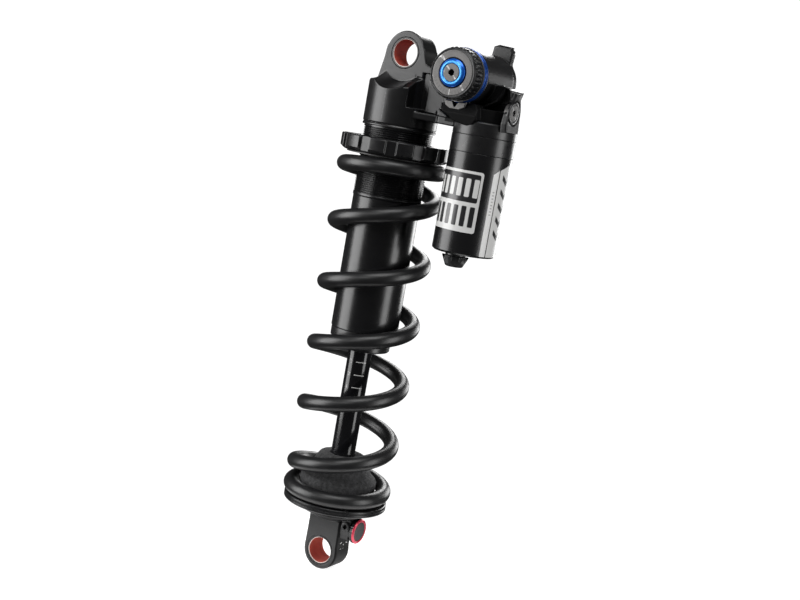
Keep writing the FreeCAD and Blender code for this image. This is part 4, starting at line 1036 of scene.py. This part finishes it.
def make_spring_retainer():
    """Flanged spring seat with a fine groove round its rim, and its snap ring."""
    r, low, high = RETAINER_R, RETAINER_LOW, RETAINER_HIGH
    outline = [(14.6, low), (17.0, low + 0.1), (r - 2.2, low + 2.3, 1.0), (r - 0.3, low + 2.9, 0.4),
               (r, low + 3.3, 0.2), (r, low + 4.15, 0.1), (r - 0.3, low + 4.35, 0.1), (r, low + 4.55, 0.1),
               (r, high - 0.4, 0.2), (r - 0.4, high, 0.2), (14.6, high, 0.3)]
    lathe("spring_seat", outline, "black_anodised", "shaft_assembly", count=192,
          stands_for="spring_retainer")
    inner = 11.42
    outline = [(inner, low + 0.05), (14.5, low + 0.05), (14.5, low + 1.2), (inner, low + 1.2)]
    lathe("snap_ring", outline, "bolt_steel", "shaft_assembly", stands_for="retainer_clip")


def make_bumper():
    """Foam bumper: a soft stepped body with a grained skin."""
    low, r, hole = BUMPER_LOW, BUMPER_R, SHAFT_R + 0.2
    rng = np.random.default_rng(7)
    phases = rng.uniform(0, 2 * math.pi, (10, 2))
    waves = rng.integers(3, 26, 10)

    def grained(radius, height, angles):
        if radius < hole + 0.6:
            return np.full(len(angles), radius)
        lumps = sum(np.sin(w * angles + p + height * (0.5 + 0.3 * i)) * np.sin(height * (0.9 + 0.2 * i) + q)
                    for i, (w, (p, q)) in enumerate(zip(waves, phases)))
        pits = np.sin(angles * 61 + height * 7.0) * np.sin(angles * 37 - height * 5.1)
        return radius - 0.16 + 0.045 * lumps + 0.07 * pits

    outline = [(hole, low, 0.3), (13.8, low, 0.4), (14.8, low + 0.8, 0.8), (16.8, low + 3.6, 1.5),
               (18.5, low + 6.4, 2.0), (r, low + 9.2, 1.2), (r, low + 13.2, 0.8),
               (r - 0.7, low + 14.6, 0.3), (r - 1.2, low + 15.0, 0.3), (15.8, low + 17.0, 1.2),
               (15.2, low + 18.6, 1.2), (12.6, low + 23.4, 1.2), (11.4, low + 25.2, 0.8),
               (hole, low + 25.6, 0.4)]
    rows = eased(outline, 0.5, steps=5)
    dense = []
    for (r0, z0), (r1, z1) in zip(rows, rows[1:] + rows[:1]):
        steps = max(1, int(math.hypot(r1 - r0, z1 - z0) / 0.45))
        dense += [(r0 + (r1 - r0) * k / steps, z0 + (z1 - z0) * k / steps) for k in range(steps)]
    bumper = lathe("foam_bumper", dense, "bumper_foam", "shaft_assembly", count=240, ease=0, shape=grained,
                   stands_for="bottom_out_bumper", crease=80.0)
    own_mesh(bumper)


# ---------------------------------------------------------------- reservoir

def make_reservoir():
    """The gas reservoir's tube and the collar above its seam."""
    r, low = RESERVOIR_R, RESERVOIR_LOW
    bore, centre = 13.4, (RESERVOIR_X, 0, 0)
    outline = [(0, low), (r - 1.2, low, 0.3), (r - 0.9, low + 0.25, 0.2), (r, low + 0.9, 0.4),
               (r, SEAM_Z - 0.12, 0.12), (r - 0.2, SEAM_Z - 0.02, 0.05), (bore, SEAM_Z - 0.02, 0),
               (bore, low + 4.6, 0), (0, low + 4.6)]
    lathe("reservoir_body", outline, "black_tube", "damper", centre, count=160,
          stands_for="reservoir_tube")
    ring, inner = 217.4, r - 2.55
    outline = [(inner, SEAM_Z, 0), (r - 0.2, SEAM_Z + 0.02, 0.05), (r, SEAM_Z + 0.12, 0.12),
               (r, ring - 0.18, 0.05), (r - 0.3, ring, 0.05), (r, ring + 0.18, 0.05),
               (r, RESERVOIR_TOP - 0.6, 0.3), (r - 0.6, RESERVOIR_TOP, 0.3), (inner, RESERVOIR_TOP, 0)]
    lathe("reservoir_cap", outline, "black_anodised", "damper", centre, count=160,
          stands_for="reservoir_collar")


def on_reservoir(name, films, material):
    """A print on the reservoir: each film is azimuths, low heights, high heights and a lift."""
    wrap = on_cylinder(RESERVOIR_R, RESERVOIR_X)
    printed(name, [film(wrap, *each) for each in films], material, "damper", "black_tube")


def make_panel():
    """A light panel with a dark upper half and a row of seven blocks in each half."""
    r, base, raised, top_layer = RESERVOIR_R, 0.04, 0.06, 0.085
    start, stop, bottom, divide, top = -165.0, -51.0, 173.0, 187.0, 201.3
    azimuths = fine(start, stop)
    under, over = rounded_ends(azimuths, r, 1.2, bottom, top)
    on_reservoir("panel_light", [(azimuths, under, over, base)], "print_white")
    azimuths = fine(start + 4.5, stop - 4.5)
    under, over = rounded_ends(azimuths, r, 0.8, divide, top - 1.25)
    on_reservoir("panel_dark", [(azimuths, under, over, raised)], "print_black")
    for row, foot, head, shade in (("upper", divide + 2.3, top - 3.5, "print_white"),
                                   ("lower", bottom + 2.6, divide - 1.9, "print_black")):
        blocks = []
        for number in range(7):
            azimuths = start + 14.0 + number * 15.0 + fine(-4.4, 4.4, 1.0)
            under, over = rounded_ends(azimuths, r, 0.5, foot, head)
            blocks.append((azimuths, under, over, top_layer))
        on_reservoir("panel_blocks_" + row, blocks, shade)


def make_stripes():
    """Two light upright stripes beside the panel: a narrow one with ticks and a wide one with chevrons."""
    foot, base, raised = RESERVOIR_LOW + 0.9, 0.04, 0.06
    azimuths = fine(-34.0, -22.4)
    on_reservoir("stripe_narrow", [(azimuths, foot, 201.3 + (azimuths + 34.0) * 0.2, base)], "print_white")
    azimuths = fine(-20.4, 42.0)
    head = np.minimum(203.7 + (azimuths + 20.4) * 0.13, 208.2)
    on_reservoir("stripe_wide", [(azimuths, foot, head, base)], "print_white")
    azimuths = np.linspace(-30.0, -26.0, 5)
    feet = [182.5 + number * 1.5 for number in range(8)]
    on_reservoir("stripe_ticks", [(azimuths, low, low + 0.6, raised) for low in feet], "print_grey")
    across = np.linspace(-13.0, 13.0, 17)
    feet = [171.0 + number * 6.4 + np.abs(across) * 0.22 for number in range(5)]
    on_reservoir("stripe_chevrons", [(1.0 + across, low, low + 2.4, raised) for low in feet], "print_black")


def make_air_valve():
    """The valve's stem under the reservoir, and its dust cap."""
    low = RESERVOIR_LOW
    outline = [(1.6, low - 5.6, 0.1), (2.6, low - 5.6, 0.2), (2.6, low - 1.6, 0), (5.0, low - 1.6, 0.3),
               (5.0, low, 0), (2.95, low, 0), (2.95, low + 4.6, 0), (1.6, low + 4.6, 0)]
    stem = lathe("valve_stem", outline, ["valve_brass", "black_anodised"], "damper", (VALVE_X, VALVE_Y, 0),
                 count=64, stands_for="air_valve_body")
    paint(stem, 1, lambda centre, normal: math.hypot(centre.x - VALVE_X, centre.y - VALVE_Y) > 2.7)
    solid("valve_dust_cap", valve_cap_field, "valve_cap", 0.16, "black_plastic", "valve_cap")


def valve_cap_field(points):
    """Dust cap: a tapered skirt with six flats for grip, over a threaded well."""
    x, y, z = points.T
    x, y = x - VALVE_X, y - VALVE_Y
    radius, angle = np.hypot(x, y), np.arctan2(y, x)
    low = VALVE_LOW
    outer = (radius - 4.3 - (z - low - 0.4) * 0.46) * 0.9
    body = smooth_max(outer, slab(z, low, low + 5.3), 0.6)
    local = (angle + math.pi / 6) % (math.pi / 3) - math.pi / 6
    flat = smooth_max(4.75 - radius * np.cos(local), radius * np.sin(np.abs(local)) - 2.0, 0.5)
    flat = np.maximum(flat, low + 1.7 - z)
    body = smooth_max(body, -flat, 0.4)
    well = np.maximum(radius - 2.65, low + 0.8 - z)
    return smooth_max(body, -well, 0.2)


# ---------------------------------------------------------------- compression controls

def on_barrel(name, outline, material, body, count=160, ease=0.05, **options):
    """A turned piece on the compression barrel's axis, with its heights measured toward the front."""
    origin = BARREL_X, 0.0, BARREL_Z
    return lathe(name, outline, material, body, origin, "front", count=count, ease=ease, **options)


def make_barrel_rings():
    """The grooved blue ring and the thin grey ring behind the dial."""
    outline = [(6.0, 13.0), (12.65, 13.0, 0), (12.65, 13.8, 0.1), (12.3, 14.0, 0.1), (12.3, 14.3, 0.1),
               (12.65, 14.5, 0.1), (12.6, 15.3, 0.3), (12.2, 15.7, 0.1), (6.0, 15.7)]
    on_barrel("barrel_blue_band", outline, "blue_deep", "damper", stands_for="barrel_ring_blue")
    outline = [(6.0, 15.72), (12.3, 15.72, 0.1), (12.3, 16.5, 0.2), (6.0, 16.5)]
    on_barrel("barrel_grey_band", outline, "grey_anodised", "damper", stands_for="barrel_ring_grey")


def index_field(points):
    """Crescent plate below the dial, with a V notch that points at the dial's marks."""
    x, y, z = points.T
    across, up = x - BARREL_X, z - BARREL_Z
    plate = polygon(across, up, [(-5.6, -12.0), (-5.0, -14.5), (-2.4, -15.8), (2.4, -15.8), (5.0, -14.5),
                                 (5.6, -12.0), (0.0, -12.4)])
    plate = chamfer_max(plate, slab(y, -16.35, -15.0), 0.25)
    notch = polygon(across, up, [(-1.7, -12.0), (1.7, -12.0), (0.35, -14.6), (-0.35, -14.6)])
    return smooth_max(plate, -notch, 0.3)


DIAL_BEVEL = 1.5


def make_dial():
    """High-speed dial with a coin edge, and the grey plate on its face."""
    back, face, edge = DIAL_BACK, DIAL_FACE, DIAL_FACE - DIAL_BEVEL

    def coin_edge(radius, height, angles):
        if radius < DIAL_R - 0.6 or height > edge + 0.2 or height < back + 0.9:
            return np.full(len(angles), radius)
        wave = np.clip(1.6 * np.abs(np.sin(angles * 16)) - 0.2, 0, 1)
        return radius - 0.42 * (1 - wave)

    outline = [(6.5, back), (DIAL_R - 0.3, back, 0.1), (DIAL_R - 0.05, back + 0.35, 0.2),
               (DIAL_R - 0.05, back + 0.85, 0), (DIAL_R, back + 1.1, 0), (DIAL_R, edge - 0.4, 0.2),
               (DIAL_R - 0.45, edge, 0.1), (DIAL_R - 0.45, face - 0.55, 0.2), (DIAL_R - 0.95, face, 0.2),
               (10.9, face, 0.1), (10.7, face - 0.25, 0.05), (10.35, face - 0.25, 0.05),
               (10.3, face - 0.6, 0), (6.9, face - 0.6, 0), (6.9, edge - 2.0, 0), (6.5, edge - 2.0, 0)]
    on_barrel("compression_dial", outline, "black_anodised", "high_speed_dial", count=320, ease=0.15,
              shape=coin_edge, stands_for="high_speed_dial", crease=40.0)
    outline = [(6.95, face - 0.6, 0), (10.25, face - 0.6, 0), (10.25, face - 0.12, 0.08),
               (9.9, face - 0.05, 0.1), (7.2, face - 0.05, 0.1), (6.95, face - 0.15, 0.05)]
    on_barrel("dial_plate", outline, "grey_anodised", "high_speed_dial", stands_for="dial_face")


def make_dial_ticks():
    """A white pointer mark at the bottom, a coarse scale beside it and fine ticks round the rest."""
    surface = DIAL_FACE - 0.07
    count = 72
    ticks = {"print_white": [], "print_black": []}
    for number in range(count):
        angle = math.radians(-90 + 360 / count * number)
        away = min(number, count - number)
        if away == 0:
            radii, half, shade = (7.4, 9.9), 0.16, "print_white"
        elif away <= 14 and away % 2 == 0:
            radii, half, shade = (8.3, 9.8), 0.10, "print_black"
        elif away <= 14:
            continue
        else:
            radii, half, shade = (9.2, 9.8), 0.06, "print_black"
        along = np.array([math.cos(angle), math.sin(angle)])
        side = np.array([-along[1], along[0]]) * half
        corners = [along * radii[0] - side, along * radii[1] - side, along * radii[1] + side,
                   along * radii[0] + side]
        ticks[shade].append(tile([(BARREL_X + across, -surface - lift, BARREL_Z + up)
                                  for lift in (0.0, 0.035) for across, up in corners]))
    printed("dial_pointer_mark", ticks["print_white"], "print_white", "high_speed_dial")
    printed("dial_ticks", ticks["print_black"], "print_black", "high_speed_dial")


def make_low_speed_knob():
    """Blue knob at the dial's centre, with a lighter blue ring round its screw: a painted highlight."""
    face, edge = DIAL_FACE, DIAL_FACE - DIAL_BEVEL
    rim = face + 1.3
    outline = [(0, 11.0), (2.5, 11.0, 0), (2.5, edge - 2.0, 0), (6.4, edge - 2.0, 0),
               (6.4, face + 0.3, 0.3), (6.1, face + 0.6, 0.3), (5.4, rim - 0.15, 0.1), (5.2, rim, 0.12),
               (4.5, rim, 0.12), (4.1, rim - 0.5, 0.1), (4.05, face + 0.2, 0), (1.6, face + 0.2, 0),
               (1.6, face - 3.0, 0), (0, face - 3.0)]
    knob = on_barrel("low_speed_dial", outline, ["blue_anodised", "blue_painted_highlight"], "low_speed_knob", ease=0.1,
                     stands_for="low_speed_knob")

    # The ring's front faces get the lighter blue: a painted highlight.
    def on_painted_highlight_ring(centre, normal):
        return -centre.y > rim - 0.3 and math.hypot(centre.x - BARREL_X, centre.z - BARREL_Z) < 5.45

    paint(knob, 1, on_painted_highlight_ring)
    hex_screw("low_speed_hex", 4.0, 0.9, 1.3, 2.6, (BARREL_X, -(face + 0.22), BARREL_Z), "front",
              "grey_anodised", "low_speed_knob", "low_speed_screw", stem=(1.55, 3.1), ease=0.15)


def lever_field(points):
    """Threshold lever: a round cap with a thumb paddle that stands off its rim."""
    x, y, z = points.T
    across, up, out = x - BARREL_X, z - BARREL_Z, y
    radius = np.hypot(across, up)
    low, high = 14.55, 19.3
    cap = chamfer_max(radius - 12.2, slab(out, low, high), 0.9)
    dish = smooth_max(radius - 9.6, high - 0.6 - out, 0.4)
    cap = smooth_max(cap, -dish, 0.3)
    pad = polygon(across, up, [(-3.0, 6.0), (8.4, 6.0), (9.3, 14.8), (7.9, 17.6), (1.0, 18.1),
                               (-1.6, 17.0)])
    pad = chamfer_max(pad, slab(out, low + 0.4, low + 4.2), 0.8)
    grip = 0.35 * np.maximum(0, np.cos(up * 3.4)) * (up > 13.2)
    body = smooth_min(cap, pad + grip * (out > low + 2.5), 1.2)
    stem = np.maximum(radius - 4.0, slab(out, low - 7.9, low + 0.5))
    return np.minimum(body, stem)


def make_controls():
    make_barrel_rings()
    solid("dial_pointer", index_field, "index_plate", 0.12, "grey_anodised", "damper")
    make_dial()
    make_dial_ticks()
    make_low_speed_knob()
    solid("lever_arm", lever_field, "threshold_lever", 0.28, "black_anodised", "threshold_lever")
    hex_screw("bottom_out_hex", 3.8, 3.5, 1.25, 1.6, (TONGUE_X - 3.4, ADJUSTER_Y, ADJUSTER_Z), "right",
              "grey_anodised", "bottom_out_adjuster", "bottom_out_adjuster", ease=0.4)


# ---------------------------------------------------------------- inner pieces keep their CAD shape

INNER = {
    "bearing_liner": ["shaft_bushing", "piston_band", "lever_bushing"],
    "seal_rubber": ["shaft_seal", "shaft_wiper", "seal_head_oring", "top_out_ring", "reservoir_oring",
                    "floating_piston_seal", "valve_cap_seal"],
    "bare_aluminium": ["bottom_out_cup", "bottom_out_piston", "main_piston", "floating_piston",
                       "base_valve_piston", "base_valve_sleeve", "barrel_plug"],
    "bolt_steel": ["compression_shims", "rebound_shims", "piston_nut", "rebound_needle",
                   "rebound_detent_ball", "dial_detent_ball", "floating_piston_screw", "base_valve_shims",
                   "low_speed_needle"],
    "valve_brass": ["air_valve_core"],
}


def dress_inner_pieces():
    for material, nodes in INNER.items():
        for node in nodes:
            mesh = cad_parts[node].data
            mesh.materials.clear()
            mesh.materials.append(MATERIALS[material])
            mesh.polygons.foreach_set("material_index", np.zeros(len(mesh.polygons), np.int32))


# ---------------------------------------------------------------- floor, lights and camera

def make_floor():
    """A plain pale disc just under the lower eye, too small to light the dark sides from below."""
    level = (node_box("lower_eyelet")[0][2] - 0.02) * MM
    mesh = bpy.data.meshes.new("floor")
    size, count = 0.075, 96
    ring = [(size * math.cos(2 * math.pi * i / count), size * math.sin(2 * math.pi * i / count), level)
            for i in range(count)]
    mesh.from_pydata(ring, [], [list(range(count))])
    material, _, shader = new_material("pale_floor")
    set_inputs(shader, Base_Color=(0.86, 0.86, 0.86, 1), Roughness=0.7, Specular_IOR_Level=0.1,
               Emission_Color=(1, 1, 1, 1), Emission_Strength=0.80)
    mesh.materials.append(material)
    floor = bpy.data.objects.new("floor", mesh)
    bpy.context.scene.collection.objects.link(floor)


def make_world():
    """White behind the object, dimmer in its reflections."""
    world = bpy.data.worlds.new("studio")
    world.use_nodes = True
    tree = world.node_tree
    shader = tree.nodes["Background"]
    path = tree.nodes.new("ShaderNodeLightPath")
    strength = remap(tree, path.outputs["Is Camera Ray"], 0.05, 1.1, 0.0, 1.0)
    tree.links.new(strength, shader.inputs["Strength"])
    shader.inputs["Color"].default_value = (1, 1, 1, 1)
    bpy.context.scene.world = world


def softbox(name, azimuth, height, distance, width, tall, power):
    """A rectangular light that faces the object's middle, from an azimuth in degrees measured from +X.

    Its height, distance, width and tallness are in metres and its power in watts.
    """
    light = bpy.data.lights.new(name, "AREA")
    light.shape = "RECTANGLE"
    light.size, light.size_y = width, tall
    light.energy = power
    thing = bpy.data.objects.new(name, light)
    a = math.radians(azimuth)
    target = Vector((0.01, 0, 0.13))
    place = Vector((distance * math.cos(a), distance * math.sin(a), height))
    thing.location = place
    thing.rotation_euler = (target - place).to_track_quat("-Z", "Y").to_euler()
    bpy.context.scene.collection.objects.link(thing)


def make_lights():
    softbox("left_box", -139, 0.27, 0.90, 0.68, 0.9, 11.8)
    softbox("right_box", 2, 0.22, 0.90, 0.36, 0.9, 5.2)
    softbox("back_box", 82, 0.20, 1.00, 0.44, 0.44, 3.2)
    softbox("far_box", 112, 0.62, 1.10, 0.36, 0.4, 3.4)
    softbox("top_box", -61, 1.15, 0.45, 0.7, 0.6, 6)
    softbox("front_fill", -85, 0.75, 1.0, 0.5, 0.4, 1.5)


def set_view_transform():
    """Plain colours, so that the white background stays white."""
    bpy.context.scene.view_settings.view_transform = "Standard"


def make_camera():
    """A camera set by its orbit angle, height and roll, and how far it stands from the object's middle."""
    azimuth, elevation, roll = math.radians(29.038), math.radians(8.163), math.radians(10.020)
    distance, focal = 0.63085, 57.417
    aim_right, aim_up = -0.015825, -0.003869
    away = Vector((math.sin(azimuth) * math.cos(elevation), -math.cos(azimuth) * math.cos(elevation),
                   math.sin(elevation)))
    right = Vector((math.cos(azimuth), math.sin(azimuth), 0))
    up = away.cross(right)
    right, up = (math.cos(roll) * right + math.sin(roll) * up,
                 math.cos(roll) * up - math.sin(roll) * right)
    camera = bpy.data.cameras.new("camera")
    camera.sensor_width = 36.0
    camera.lens = focal
    camera.clip_start, camera.clip_end = 0.01, 50.0
    thing = bpy.data.objects.new("camera", camera)
    centre = Vector((0, 0, EYE_Z * MM / 2))
    place = centre - aim_right * right - aim_up * up + distance * away
    axes = Matrix((right, up, away)).transposed().to_4x4()
    thing.matrix_world = Matrix.Translation(place) @ axes
    bpy.context.scene.collection.objects.link(thing)
    bpy.context.scene.camera = thing


make_camera()
make_head()
make_bushing("upper_glide_bushing", "upper_bushing", EYE_Z, "damper")
make_bushing("lower_glide_bushing", "lower_bushing", 0.0, "shaft_assembly")
make_damper_body()
make_seal_head()
make_collar()
make_spring()
make_shaft()
make_lower_eyelet()
make_rebound_adjusters()
make_spring_retainer()
make_bumper()
make_reservoir()
make_panel()
make_stripes()
make_air_valve()
make_controls()
dress_inner_pieces()
make_floor()
make_world()
make_lights()
set_view_transform()
